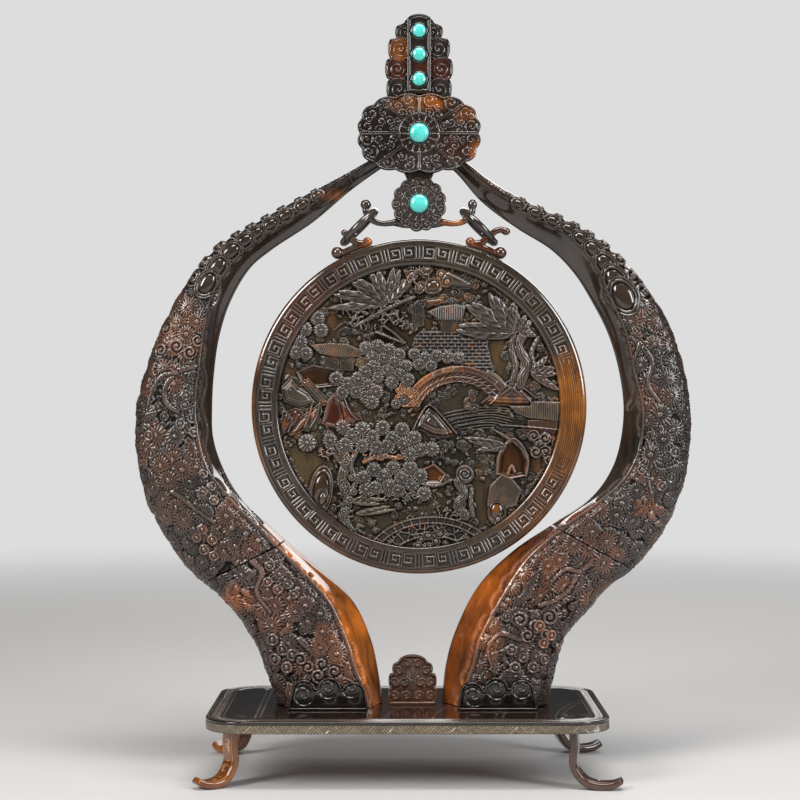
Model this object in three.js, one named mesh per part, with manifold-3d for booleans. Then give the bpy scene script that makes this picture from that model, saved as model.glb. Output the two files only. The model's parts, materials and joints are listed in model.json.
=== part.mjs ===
// A carved horn hanging screen: a round screen on two rings, between two curved arms on a footed stand.
// Millimetres, +Z up, the front faces -Y, the origin is on the floor under the middle of the object.

import * as THREE from "three";
import { mergeVertices } from "three/addons/utils/BufferGeometryUtils.js";
import Module from "manifold-3d";

const wasm = await Module();
wasm.setup();

// Clearances between pieces
const seatGap = 0.3; // between two faces that rest on each other or are glued
const pegGap = 0.3; // round a peg in its hole
const hangGap = 0.3; // between a ring and the bar it hangs on
const cutOver = 1; // how far a cutting body runs past the face that it cuts

// Facets
const weldDistance = 1e-4; // points of a shape that are closer than this are one
const rodSides = 16;
const pegSides = 12;
const pinSides = 10;
const seatSides = 20; // of a stone's seat
const barSides = 7;
const ballSides = 9;
const ballRows = 5;
const ringSides = 8;
const ringSteps = 24;
const yokeSteps = 28;
const lugBodySteps = 6;
const lugHookSteps = 12;
const cornerSteps = 6;

// Platform
const platformWidth = 240;
const platformDepth = 140;
const platformThickness = 7;
const platformCorner = 24; // corner radius
const platformShift = -3.3; // the stand's middle, which lies a little left of the object's
const topThickness = 1.5;
const bandThickness = 2;
const socketFloor = 1.4; // wood left below a base dowel

// Legs
const legHeight = 34.3;
const legWidth = 13;
const legThickness = 5;
const legPegRadius = 3;
const legPegLength = 3.6;
const legPegRoot = 4; // how far the peg is sunk in the leg
const legBow = 0.6; // how far the shank bows inward
const legBendTop = 15; // height at which the shank begins to bend outward
const legSteps = 16;
const toeStart = 0.75; // share of a leg's length at which it begins to taper
const toeNarrowing = 0.35; // share of its width that it loses by the toe's end
const toeThinning = 0.25; // and of its thickness

// A leg's bend and toe: how far out, as a share of its reach, and how far above lying on the floor
const legBend = [[0.08, 3.5], [0.32, 0], [0.62, -0.5], [0.85, 0.8], [1, 4]];

// A leg's section, in half widths and half thicknesses
const legSection = [[-1, -0.7], [-0.8, -1], [0.8, -1], [1, -0.7], [1, 0.7], [0.8, 1], [-0.8, 1], [-1, 0.7]];

// How far each leg stands in from the platform's edges, and how far and where its toe points
const legStyles = {
  left: { insetX: 15.1, insetY: 23, reach: 24, turn: 35, colour: "amber" },
  right: { insetX: 21.8, insetY: 15, reach: 29, turn: 12, colour: "brown" },
};

// Round screen
const discRadius = 103.5;
const discSides = 60;
const rimWidth = 16.2;
const rimThickness = 12;
const rimChamfer = 2.5; // on the outer edges
const rimLipWidth = 1.6; // of the small slope on the inner edges
const rimLipDepth = 0.8;
const panelRelief = 4.5; // thickness of the carved front panel
const backThickness = 3.5; // thickness of the back panel
const coreThickness = 2.4;

// Rings, and the bars that they hang on and carry
const hangLine = 4; // X of the line on which crown, pendant and disc hang
const ringOuterRadius = 16;
const ringWireRadius = 2.3;
const ringSlope = Math.PI / 4; // the rings lean outward-down at this angle
const barRadius = 2.2; // of the yoke's and the lugs' hooks

// Lugs on the rim. X and Z are from the middle of the bar that hangs in the ring.
const lugRise = 10.9; // from the rim's edge up to the lug's bar
const lugBody = [-12.3, -6, 0, 6.7]; // X of the points that the body follows along the rim
const lugNeck = [[-10.3, -4.2], [-5, -3.6], [0, 0]]; // the hook's path from the body to the bar
const lugOuterLobe = { x: 7.2, radius: 3.9 };
const lugInnerLobe = { x: -11.5, radius: 3 };
const lugPinRadius = 1;
const lugPinDepth = 6; // how far a lug's pin enters the rim
const lugStyles = {
  left: { hookEnd: [[2.6, 2.6]], endRadius: 2.5, colour: "amber" },
  right: { hookEnd: [[3.6, 3.3], [7.4, 4.6], [10.6, 3.6]], endRadius: 2.8, colour: "brown" },
};

// Yoke. X is from the hanging line, and the drop is below the point where the rings hang.
const yokeReach = 30.7; // from the hanging line to where a ring hangs
const yokeBar = [[0, 3], [14, 3.4]]; // X and drop of the bar's inner points
const yokeHook = [[-8.5, 4.2], [-3.2, 2.9], [0, 0], [2.3, -3.4], [2.2, -7.6]]; // X from the ring, and drop
const yokeTongue = [[-23, 4], [-12, 7.4], [12, 7.4], [23, 4], [12, -1], [-12, -1]];
const yokeTipRadius = 3.4;

// Crown
const plateThickness = 5; // of the medallion, the plume and the pendant
const medallionWidth = 76;
const medallionHeight = 49;
const medallionEdge = { lobes: 16, depth: 1.6, power: 2.6, steps: 96 };
const blockWidth = 54;
const blockHeight = 42;
const blockBack = 7; // Y of the crown block's back
const blockEdge = { lobes: 1, depth: 0, power: 3, steps: 40 };
const crownAboveTips = 18.2; // the medallion's middle above the arms' tips
const tenonRadius = 3.5;
const tenonLength = 10;
const tenonRoot = 4; // how far a tenon is sunk in its arm

// Plume, above the medallion's middle. A lobe has its half width, and its head as a share of the height.
const plumeFootWidth = 28;
const plumeFootRise = 7.6;
const plumeLobesRise = 21.6;
const plumeRise = 73.4;
const plumeCap = { halfWidth: 9.5, height: 6 };
const plumeLobes = [[20.2, 0.28], [21, 0.55], [19.2, 0.82], [14.8, 1]];
const plumeBulge = 2.2; // how far a lobe swells from its foot
const stripWidth = 15;
const stripThickness = 2;
const stripOverPlume = 0.4; // how far the strip stands above the plume
const stripHead = 0.55; // height of its round head, as a share of its half width
const stripHeadSteps = 8;

// Pendant. The neck's rows are how far its side steps in, and the height above the rosette's middle.
const pendantDrop = 42.8; // its middle below the medallion's
const pendantRadius = 17;
const pendantEdge = { lobes: 13, depth: 1.3, power: 2, steps: 78 };
const neckWidth = 18.6;
const neckTopDrop = 10; // top of the neck below the medallion's middle
const neckRows = [[3, 10], [2, 15.5], [0, 19]];
const yokeDrop = 7.4; // where the rings hang, below the pendant's middle

// Pegs that join the crown's plates
const pegRadius = 1.5;
const pegCover = 1.5; // what a plate keeps in front of its peg
const pegBite = 4; // how far a peg enters the block
const medallionPegReach = 19;
const plumePegRise = 13.5;
const neckPegDrop = 15;
const yokePegDrop = 3;

// Stones
const largeCabochonRadius = 5.9;
const pendantCabochonRadius = 5.7;
const plumeCabochonRadius = 4.1;
const plumeCabochonDrops = { top: 10.5, middle: 25, low: 40.4 }; // below the strip's top
const cabochonSeat = 1; // how deep a stone is let in
const cabochonGirdle = 0.6; // its straight wall above the seat
const cabochonDome = 0.42; // height of its dome, as a share of its radius
const cabochonSides = 14;
const cabochonSteps = 4;

// Arms. The drawings were made round a disc of this radius, and follow discRadius.
const drawnDiscRadius = 103.5;
const stretch = discRadius / drawnDiscRadius;
const armSteps = 13; // sections in each arm piece
const tipRow = 17; // the row where an arm goes behind the medallion
const spliceRows = { left: 4.6, right: 4.9 }; // where the lower piece ends and the upper begins
const spliceDowelRadius = 4;
const spliceDowelLength = 22;
const baseDowelRadius = 6;
const baseDowelRise = 20; // how far a base dowel stands up in its arm

// Each row is one cut across an arm: its outer point and its inner point, in mm from the hanging
// line and above the arm's foot, then the share of its width that the smooth inner strip takes,
// and half its depth.
const armDrawings = {
  left: [
    [-88.6, 0, -22.3, 0, 0.11, 24.5],
    [-94.8, 18.8, -24.8, 16.9, 0.14, 24.5],
    [-102.9, 38.6, -29.7, 38.6, 0.17, 24],
    [-113.4, 54.1, -41.5, 63.4, 0.15, 23],
    [-123.6, 65.2, -67.5, 87, 0.08, 22],
    [-141.9, 80.8, -92.3, 108.7, 0.05, 21.5],
    [-158.7, 103.7, -111, 127.3, 0.05, 21],
    [-170.5, 128.5, -122.1, 146.5, 0.12, 20.5],
    [-175.9, 156.4, -127.7, 164.5, 0.13, 20],
    [-175.9, 181.2, -128.3, 184.3, 0.17, 19],
    [-169.8, 207.2, -127.1, 204.8, 0.17, 18],
    [-159.3, 233.9, -124, 226.5, 0.22, 16.5],
    [-145.7, 258.1, -117.2, 248.2, 0.33, 15],
    [-127.7, 282.3, -104.8, 269.2, 0.35, 13],
    [-103.5, 297.8, -91.7, 280.4, 0.4, 11],
    [-75, 313.3, -65.7, 297.8, 0.45, 9],
    [-49, 326.3, -42.1, 317.6, 0.5, 7],
    [-29.1, 337.4, -24.8, 330, 0.5, 5.5],
    [-17.5, 345.2, -13, 337.7, 0.5, 5.2],
  ],
  right: [
    [80.6, 0, 14.3, 0, 0.16, 24.5],
    [85, 18.8, 16.1, 20, 0.19, 24.5],
    [91.2, 40.5, 21.7, 41.7, 0.2, 24],
    [101.7, 52.9, 36.6, 71.5, 0.2, 23],
    [116.6, 69.6, 57.7, 93.2, 0.12, 22],
    [134.6, 83.9, 85, 111.8, 0.05, 21.5],
    [151.9, 106.2, 107.3, 127.3, 0.05, 21],
    [163.1, 131.6, 118.4, 142.1, 0.15, 20.5],
    [168.1, 156.4, 124, 156.4, 0.21, 20],
    [168.7, 181.2, 127.1, 181.2, 0.22, 19],
    [164.9, 206, 124, 206, 0.17, 18],
    [155.7, 233.9, 117.2, 228.9, 0.22, 16.5],
    [142, 256.2, 107.9, 247.5, 0.26, 15],
    [122.2, 280.4, 96.8, 265.5, 0.4, 13],
    [99.8, 296.5, 82.5, 280.4, 0.5, 11],
    [72, 309.5, 60.8, 294, 0.5, 9],
    [48.4, 321.3, 39.1, 310.2, 0.5, 7],
    [28.5, 335.6, 22.4, 328.8, 0.5, 5.5],
    [17, 343.7, 11.5, 336.9, 0.5, 5.2],
  ],
};

// Cloud plaques at the arms' feet. A head has its middle and its top, as shares of the width and height.
const plaqueWidth = 48.5;
const plaqueHeight = 19.6;
const plaqueThickness = 4;
const plaqueHeads = [[0.32, 0.86], [0.02, 1], [-0.3, 0.93]];
const plaqueHeadHalfWidth = 0.15; // as a share of the width; two heads must not overlap
const plaqueHeadHeight = 0.34; // as a share of the height
const plaqueHeadArc = [0.04, 0.96]; // in half turns
const plaqueHeadSteps = 6;

// Centre cloud. A tier has how far its side steps in, and its head as a share of the height.
const cloudSideGap = 3.1; // from the cloud to each arm's foot
const cloudHeight = 30.6;
const cloudThickness = 5;
const cloudFront = -8.5; // Y of its front
const cloudTiers = [[0, 0.34], [0.3, 0.62], [2.6, 0.82]];
const cloudBulge = 1.6;
const cloudCapInset = 6; // how far the cap's side steps in
const cloudTabWidth = 12;
const cloudTabDepth = 3;
const cloudTabInset = 1; // how far its faces lie behind the cloud's
const cloudTabRoot = 2; // how far it is sunk in the cloud

// Steps of the lobed outlines
const lobeSteps = 6;
const lobeFill = 0.98; // share of its height that a lobe's arc takes
const capSteps = 4;

// Sizes and places that follow from those above
const platformTop = legHeight + platformThickness;
const coreTop = platformTop - topThickness - seatGap;
const panelRadius = discRadius - rimWidth - seatGap;
const rimSeat = discRadius + seatGap; // where a lug lies on the rim
const ringRadius = ringOuterRadius - ringWireRadius;
const barOffset = ringRadius - ringWireRadius - barRadius - hangGap; // ring's middle to each bar
const barStepX = barOffset * Math.cos(ringSlope);
const barStepZ = barOffset * Math.sin(ringSlope);
const lugReach = yokeReach + 2 * barStepX;
const lugHeight = Math.sqrt(discRadius ** 2 - lugReach ** 2) + lugRise; // above the disc's middle
const tipHeight = (middleOf("left", tipRow).z + middleOf("right", tipRow).z) / 2;
const crownHeight = tipHeight + crownAboveTips; // medallion's middle above the stand's top
const pendantHeight = crownHeight - pendantDrop;
const yokeHeight = pendantHeight - yokeDrop;
const discHeight = yokeHeight - 2 * barStepZ - lugHeight;

// The crown's layers, from the yoke forward. The plume and the pendant's neck lie in the block's
// rebates, with the medallion over them.
const rebateFace = -barRadius;
const plateBack = rebateFace - seatGap;
const plateFront = plateBack - plateThickness;
const medallionBack = plateFront - seatGap;
const medallionFront = medallionBack - plateThickness;
const stripBack = plateFront - seatGap;
const stripFront = stripBack - stripThickness;
const stripFoot = crownHeight + medallionHeight / 2 + seatGap;
const stripTop = crownHeight + plumeRise + stripOverPlume;

// The crown's pegs lie along Y on the hanging line, or beside it. Each joins two pieces.
const blockPegBack = plateFront + pegBite;
const crownPegs = [
  {
    name: "medallion_peg_left", joins: ["medallion", "block"],
    x: -medallionPegReach, z: crownHeight, front: medallionFront + pegCover, back: blockPegBack,
  },
  {
    name: "medallion_peg_right", joins: ["medallion", "block"],
    x: medallionPegReach, z: crownHeight, front: medallionFront + pegCover, back: blockPegBack,
  },
  {
    name: "plume_peg", joins: ["plume", "block"],
    x: 0, z: crownHeight + plumePegRise, front: plateFront + pegCover, back: rebateFace + pegBite,
  },
  {
    name: "pendant_neck_peg", joins: ["pendant", "block"],
    x: 0, z: crownHeight - neckPegDrop, front: plateFront + pegCover, back: rebateFace + pegBite,
  },
  {
    name: "yoke_peg", joins: ["pendant", "yoke"],
    x: 0, z: yokeHeight - yokePegDrop, front: plateFront + pegCover, back: barRadius - pegCover,
  },
];

// The crown's stones lie on the hanging line, each let into the front of its piece
const crownStones = [
  {
    name: "cabochon_crown", piece: "medallion",
    z: crownHeight, front: medallionFront, radius: largeCabochonRadius,
  },
  {
    name: "cabochon_pendant", piece: "pendant",
    z: pendantHeight, front: plateFront, radius: pendantCabochonRadius,
  },
  ...Object.entries(plumeCabochonDrops).map(([place, drop]) => ({
    name: `cabochon_plume_${place}`, piece: "strip",
    z: stripTop - drop, front: stripFront, radius: plumeCabochonRadius,
  })),
];

// Materials

const hornColours = {
  dark: 0x1f1915,
  carved: 0x3d342b,
  olive: 0x5a4c36,
  brown: 0x4a2c1c,
  amber: 0xa8641c,
  ivory: 0x8f8877,
};

function horn(colour) {
  return new THREE.MeshStandardMaterial({ color: hornColours[colour], roughness: 0.35, metalness: 0 });
}

const turquoise = new THREE.MeshStandardMaterial({ color: 0x2fa39a, roughness: 0.2, metalness: 0 });
const wood = new THREE.MeshStandardMaterial({ color: 0x5b3a22, roughness: 0.7, metalness: 0 });

// Geometry to solid and back

function solidFrom(positions, indices) {
  const mesh = new wasm.Mesh({
    numProp: 3,
    vertProperties: Float32Array.from(positions),
    triVerts: Uint32Array.from(indices),
  });
  return new wasm.Manifold(mesh);
}

function solidOf(geometry) {
  const plain = geometry.clone();
  plain.deleteAttribute("normal");
  plain.deleteAttribute("uv");
  const merged = mergeVertices(plain, weldDistance);
  return solidFrom(merged.attributes.position.array, merged.index.array);
}

function geometryOf(solid) {
  const mesh = solid.getMesh();
  const geometry = new THREE.BufferGeometry();
  geometry.setAttribute("position", new THREE.BufferAttribute(mesh.vertProperties, 3));
  geometry.setIndex(new THREE.BufferAttribute(mesh.triVerts, 1));
  geometry.computeVertexNormals();
  return geometry;
}

function part(name, solid, material) {
  const mesh = new THREE.Mesh(geometryOf(solid), material);
  mesh.name = name;
  return mesh;
}

// Shapes

function rad(degrees) {
  return (degrees * Math.PI) / 180;
}

function shapeOf(points) {
  return new THREE.Shape(points.map(([x, y]) => new THREE.Vector2(x, y)));
}

function extruded(points, depth) {
  return new THREE.ExtrudeGeometry(shapeOf(points), { depth, bevelEnabled: false });
}

// A plate whose outline lies in X and Z, from its front Y to its back Y
function uprightPlate(points, front, back) {
  const geometry = extruded(points, back - front);
  geometry.rotateX(Math.PI / 2);
  geometry.translate(0, back, 0);
  return solidOf(geometry);
}

// A plate whose outline lies in X and Y, from its underside to its top
function flatPlate(points, bottom, top) {
  const geometry = extruded(points, top - bottom);
  geometry.translate(0, 0, bottom);
  return solidOf(geometry);
}

function box(low, high) {
  const geometry = new THREE.BoxGeometry(high[0] - low[0], high[1] - low[1], high[2] - low[2]);
  geometry.translate((low[0] + high[0]) / 2, (low[1] + high[1]) / 2, (low[2] + high[2]) / 2);
  return solidOf(geometry);
}

// A round rod between two points
function rod(start, end, radius, sides = rodSides) {
  const along = end.clone().sub(start);
  const geometry = new THREE.CylinderGeometry(radius, radius, along.length(), sides);
  const cylinderAxis = new THREE.Vector3(0, 1, 0);
  geometry.applyQuaternion(new THREE.Quaternion().setFromUnitVectors(cylinderAxis, along.normalize()));
  geometry.translate(...start.clone().add(end).divideScalar(2).toArray());
  return solidOf(geometry);
}

// A rod along Y, and one along Z
function rodY(x, z, front, back, radius, sides = pegSides) {
  return rod(new THREE.Vector3(x, front, z), new THREE.Vector3(x, back, z), radius, sides);
}

function rodZ(x, y, bottom, top, radius, sides) {
  return rod(new THREE.Vector3(x, y, bottom), new THREE.Vector3(x, y, top), radius, sides);
}

function ball(centre, radius) {
  const geometry = new THREE.SphereGeometry(radius, ballSides, ballRows);
  geometry.translate(...centre.toArray());
  return solidOf(geometry);
}

function circle(radius, steps) {
  return Array.from({ length: steps }, (_, k) => (2 * Math.PI * k) / steps).map((a) => [
    radius * Math.cos(a),
    radius * Math.sin(a),
  ]);
}

// A bent bar of round section along a smooth path
function bentBar(points, radius, steps) {
  const path = new THREE.CatmullRomCurve3(points);
  const section = shapeOf(circle(radius, barSides));
  return solidOf(new THREE.ExtrudeGeometry(section, { steps, extrudePath: path, bevelEnabled: false }));
}

// Sections joined one to the next, with a fan on each end; it is turned the right way out
function loft(sections) {
  const sides = sections[0].length;
  const points = sections.flat();
  const faces = [];
  for (let row = 0; row + 1 < sections.length; row++) {
    for (let side = 0; side < sides; side++) {
      const here = row * sides + side;
      const next = row * sides + ((side + 1) % sides);
      faces.push([here, next, here + sides], [next, next + sides, here + sides]);
    }
  }
  for (const [row, turned] of [[0, true], [sections.length - 1, false]]) {
    const centre = points.length;
    const middle = new THREE.Vector3();
    sections[row].forEach((p) => middle.add(p));
    points.push(middle.divideScalar(sides));
    for (let side = 0; side < sides; side++) {
      const here = row * sides + side;
      const next = row * sides + ((side + 1) % sides);
      faces.push(turned ? [centre, next, here] : [centre, here, next]);
    }
  }
  const positions = points.flatMap((p) => p.toArray());
  const made = solidFrom(positions, faces.flat());
  if (made.volume() > 0) return made;
  return solidFrom(positions, faces.map(([a, b, c]) => [a, c, b]).flat());
}

// Outlines

function roundedRectangle(width, depth, corner) {
  const points = [];
  const quarters = [[1, 1], [-1, 1], [-1, -1], [1, -1]];
  quarters.forEach(([sx, sy], quarter) => {
    for (let k = 0; k <= cornerSteps; k++) {
      const angle = (Math.PI / 2) * (quarter + k / cornerSteps);
      points.push([
        sx * (width / 2 - corner) + corner * Math.cos(angle),
        sy * (depth / 2 - corner) + corner * Math.sin(angle),
      ]);
    }
  });
  return points;
}

// An oval with a scalloped edge, round a middle at a height; power above 2 squares it up
function scallopedOval(halfWidth, halfHeight, edge, height) {
  const points = [];
  for (let k = 0; k < edge.steps; k++) {
    const angle = (2 * Math.PI * k) / edge.steps;
    const c = Math.cos(angle);
    const s = Math.sin(angle);
    const dip = edge.depth * (1 - Math.abs(Math.sin((edge.lobes * angle) / 2)));
    const grow = (Math.abs(c) ** edge.power + Math.abs(s) ** edge.power) ** (-1 / edge.power);
    points.push([(halfWidth - dip) * grow * c, (halfHeight - dip) * grow * s + height]);
  }
  return points;
}

// A symmetric outline whose sides are rows of bulging lobes under a round cap: each row is its half
// width at its fullest, its foot and its head
function lobedOutline(rows, bulge, capHalfWidth, capTop) {
  const right = [];
  for (const [halfWidth, foot, head] of rows) {
    for (let k = 0; k <= lobeSteps; k++) {
      const angle = Math.PI * (k / lobeSteps - 0.5);
      const z = (foot + head) / 2 + lobeFill * ((head - foot) / 2) * Math.sin(angle);
      right.push([halfWidth - bulge + bulge * Math.cos(angle), z]);
    }
  }
  const shoulder = rows[rows.length - 1][2];
  for (let k = 1; k <= capSteps; k++) {
    const angle = (Math.PI / 2) * (k / capSteps);
    right.push([capHalfWidth * Math.cos(angle), shoulder + (capTop - shoulder) * Math.sin(angle)]);
  }
  const left = right.slice(0, -1).map(([x, z]) => [-x, z]);
  return right.concat(left.reverse());
}

// Rows for lobedOutline from pairs of half width and head, the head as a share of foot to top
function lobeRows(lobes, foot, top) {
  const heads = lobes.map(([, share]) => foot + share * (top - foot));
  return lobes.map(([halfWidth], k) => [halfWidth, k === 0 ? foot : heads[k - 1], heads[k]]);
}

// Stand

function insetPlatform(inset) {
  return roundedRectangle(platformWidth - 2 * inset, platformDepth - 2 * inset, platformCorner - inset);
}

// The places of the legs, from the platform's middle
function legPlaces() {
  const places = [];
  for (const [side, sideSign] of [["left", -1], ["right", 1]]) {
    const style = legStyles[side];
    for (const [row, rowSign] of [["front", -1], ["rear", 1]]) {
      places.push({
        name: `leg_${row}_${side}`,
        x: sideSign * (platformWidth / 2 - style.insetX),
        y: rowSign * (platformDepth / 2 - style.insetY),
        angle: Math.atan2(rowSign * Math.sin(rad(style.turn)), sideSign * Math.cos(rad(style.turn))),
        reach: style.reach,
        colour: style.colour,
      });
    }
  }
  return places;
}

// A leg: a flat strip that bends outward at the floor into an upturned toe, with a peg on its top
function leg(reach) {
  const topZ = legHeight - seatGap;
  const path = new THREE.CatmullRomCurve3([
    new THREE.Vector3(0, 0, topZ),
    new THREE.Vector3(-legBow, 0, (topZ + legBendTop) / 2),
    new THREE.Vector3(0, 0, legBendTop),
    ...legBend.map(([out, up]) => new THREE.Vector3(out * reach, 0, legThickness / 2 + up)),
  ]);
  const sections = [];
  for (let k = 0; k <= legSteps; k++) {
    const share = k / legSteps;
    const centre = path.getPoint(share);
    const along = k === 0 ? new THREE.Vector3(0, 0, -1) : path.getTangent(share);
    const outward = new THREE.Vector3(-along.z, 0, along.x);
    const taper = Math.max(0, (share - toeStart) / (1 - toeStart));
    const halfWidth = (legWidth / 2) * (1 - toeNarrowing * taper);
    const halfThick = (legThickness / 2) * (1 - toeThinning * taper);
    const place = ([w, t]) => centre.clone().addScaledVector(outward, t * halfThick).setY(w * halfWidth);
    sections.push(legSection.map(place));
  }
  const floor = box([-2 * reach, -legWidth, -legHeight], [2 * reach, legWidth, 0]);
  const peg = rodZ(0, 0, topZ - legPegRoot, topZ + legPegLength, legPegRadius, pegSides);
  return loft(sections).add(peg).subtract(floor);
}

// X of the middle of each arm's foot, from the platform's middle
function dowelPlaces() {
  return ["left", "right"].map((side) => ({ side, x: middleOf(side, 0).x + hangLine - platformShift }));
}

// What is cut from both the core and the top: the dowels' sockets and the centre cloud's slot
function platformCuts() {
  const cuts = dowelPlaces().map(({ x }) =>
    rodZ(x, 0, legHeight + socketFloor, platformTop + cutOver, baseDowelRadius + pegGap),
  );
  const slotX = hangLine - platformShift + cloudMiddle();
  const slotHalf = cloudTabWidth / 2 + pegGap;
  const slot = box(
    [slotX - slotHalf, cloudFront + cloudTabInset - pegGap, coreTop - cloudTabDepth - seatGap],
    [slotX + slotHalf, cloudFront + cloudThickness - cloudTabInset + pegGap, platformTop + cutOver],
  );
  return cuts.concat(slot);
}

function platformCore(cuts) {
  let core = flatPlate(insetPlatform(bandThickness + seatGap), legHeight, coreTop);
  for (const { x, y } of legPlaces()) {
    const holeTop = legHeight + legPegLength;
    core = core.subtract(rodZ(x, y, legHeight - cutOver, holeTop, legPegRadius + pegGap, pegSides));
  }
  return cuts.reduce((rest, cut) => rest.subtract(cut), core);
}

function platformBoard(cuts) {
  const board = flatPlate(insetPlatform(0), coreTop + seatGap, platformTop);
  return cuts.reduce((rest, cut) => rest.subtract(cut), board);
}

function edgeBand() {
  const outer = flatPlate(insetPlatform(0), legHeight, coreTop);
  return outer.subtract(flatPlate(insetPlatform(bandThickness), legHeight - cutOver, coreTop + cutOver));
}

function buildStand() {
  const stand = new THREE.Group();
  stand.position.x = platformShift;
  for (const place of legPlaces()) {
    const mesh = part(place.name, leg(place.reach), horn(place.colour));
    mesh.position.set(place.x, place.y, 0);
    mesh.rotation.z = place.angle;
    stand.add(mesh);
  }
  for (const { side, x } of dowelPlaces()) {
    const bottom = legHeight + socketFloor + seatGap;
    const dowel = rodZ(x, 0, bottom, platformTop + baseDowelRise, baseDowelRadius);
    stand.add(part(`base_dowel_${side}`, dowel, wood));
  }
  const cuts = platformCuts();
  stand.add(part("platform_core", platformCore(cuts), wood));
  stand.add(part("platform_top", platformBoard(cuts), horn("dark")));
  stand.add(part("platform_edge_band", edgeBand(), horn("olive")));
  return stand;
}

// Arms

function armCurves(side) {
  const rows = armDrawings[side];
  const at = (x, z) => new THREE.Vector3(x * stretch, 0, z * stretch + seatGap);
  const curve = (pick) => new THREE.CatmullRomCurve3(rows.map(pick));
  return {
    outer: curve(([x, z]) => at(x, z)),
    inner: curve(([, , x, z]) => at(x, z)),
    form: curve(([, , , , strip, depth]) => new THREE.Vector3(strip, depth, 0)),
    last: rows.length - 1,
  };
}

// The middle of an arm at a row, or its inner edge there
function middleOf(side, row, edge = "both") {
  const arm = armCurves(side);
  const inner = arm.inner.getPoint(row / arm.last);
  if (edge === "inner") return inner;
  return arm.outer.getPoint(row / arm.last).add(inner).divideScalar(2);
}

// One cut across an arm: a carved crown in front, a ridge, a smooth strip from the ridge to the
// inner edge, and a rounded back. The outline is from the outer edge, 0, to the inner edge, 1, and
// in half depths.
function armSection(side, row) {
  const arm = armCurves(side);
  const share = row / arm.last;
  const outer = arm.outer.getPoint(share);
  const across = arm.inner.getPoint(share).sub(outer);
  const { x: strip, y: depth } = arm.form.getPoint(share);
  const carved = 1 - strip;
  const outline = [
    [0, 0],
    [0.05 * carved, -0.5],
    [0.2 * carved, -0.86],
    [0.52 * carved, -1],
    [0.85 * carved, -0.96],
    [carved, -0.8],
    [carved + 0.5 * strip, -0.3],
    [1, 0.05],
    [0.93, 0.5],
    [0.76, 0.85],
    [0.5, 1],
    [0.2, 0.86],
    [0.05, 0.5],
  ];
  return outline.map(([s, y]) => outer.clone().addScaledVector(across, s).setY(y * depth));
}

function armPiece(side, from, to) {
  const sections = [];
  for (let k = 0; k <= armSteps; k++) {
    sections.push(armSection(side, from + ((to - from) * k) / armSteps));
  }
  return loft(sections);
}

// The joint across an arm: its dowel, the dowel's hole, and half the joint's gap in rows
function splice(side) {
  const row = spliceRows[side];
  const rowStep = 0.1;
  const along = middleOf(side, row + rowStep).sub(middleOf(side, row - rowStep));
  const halfGap = ((seatGap / 2) * 2 * rowStep) / along.length();
  along.normalize();
  const middle = middleOf(side, row);
  const pointAt = (far) => middle.clone().addScaledVector(along, far);
  const reach = (length) => [pointAt(-length / 2), pointAt(length / 2)];
  return {
    row,
    halfGap,
    dowel: rod(...reach(spliceDowelLength), spliceDowelRadius),
    hole: rod(...reach(spliceDowelLength + 2 * seatGap), spliceDowelRadius + pegGap),
  };
}

// The round tenon with which an arm's tip enters the crown block
function tenon(side) {
  const tip = middleOf(side, tipRow);
  const along = middleOf(side, tipRow + 1).sub(tip).normalize();
  return {
    root: tip.clone().addScaledVector(along, -tenonRoot),
    end: tip.clone().addScaledVector(along, tenonLength),
    clearEnd: tip.clone().addScaledVector(along, tenonLength + seatGap),
  };
}

function buildArm(side) {
  const arm = new THREE.Group();
  const { row, halfGap, dowel, hole } = splice(side);
  const footX = middleOf(side, 0).x;
  const baseHole = rodZ(footX, 0, -cutOver, baseDowelRise + seatGap, baseDowelRadius + pegGap);
  const lower = armPiece(side, 0, row - halfGap).subtract(baseHole).subtract(hole);
  const { root, end } = tenon(side);
  const upper = armPiece(side, row + halfGap, armCurves(side).last)
    .subtract(uprightPlate(blockOutline(seatGap), plateFront - seatGap, blockBack + seatGap))
    .add(rod(root, end, tenonRadius, pegSides))
    .subtract(hole);
  arm.add(part(`${side}_arm_lower`, lower, horn("carved")));
  arm.add(part(`${side}_arm_upper`, upper, horn("carved")));
  arm.add(part(`splice_dowel_${side}`, dowel, wood));
  return arm;
}

// Crown

function blockOutline(grow) {
  return scallopedOval(blockWidth / 2 + grow, blockHeight / 2 + grow, blockEdge, crownHeight);
}

function crownBlock() {
  const plumeHalf = plumeFootWidth / 2 + pegGap;
  const neckHalf = neckWidth / 2 + pegGap;
  const plumeRebate = box(
    [-plumeHalf, plateFront - cutOver, crownHeight + plumeFootRise - seatGap],
    [plumeHalf, rebateFace, crownHeight + blockHeight],
  );
  const neckRebate = box(
    [-neckHalf, plateFront - cutOver, crownHeight - blockHeight],
    [neckHalf, rebateFace, crownHeight - neckTopDrop + seatGap],
  );
  let block = uprightPlate(blockOutline(0), plateFront, blockBack).subtract(plumeRebate).subtract(neckRebate);
  for (const side of ["left", "right"]) {
    const { root, clearEnd } = tenon(side);
    block = block.subtract(rod(root, clearEnd, tenonRadius + pegGap, pegSides));
  }
  return block;
}

function medallion() {
  const outline = scallopedOval(medallionWidth / 2, medallionHeight / 2, medallionEdge, crownHeight);
  return uprightPlate(outline, medallionFront, medallionBack);
}

function plume() {
  const lobesFoot = crownHeight + plumeLobesRise;
  const top = crownHeight + plumeRise;
  const rows = lobeRows(plumeLobes, lobesFoot, top - plumeCap.height);
  const plate = uprightPlate(lobedOutline(rows, plumeBulge, plumeCap.halfWidth, top), plateFront, plateBack);
  const foot = box(
    [-plumeFootWidth / 2, plateFront, crownHeight + plumeFootRise],
    [plumeFootWidth / 2, plateBack, lobesFoot + cutOver],
  );
  return plate.add(foot);
}

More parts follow.
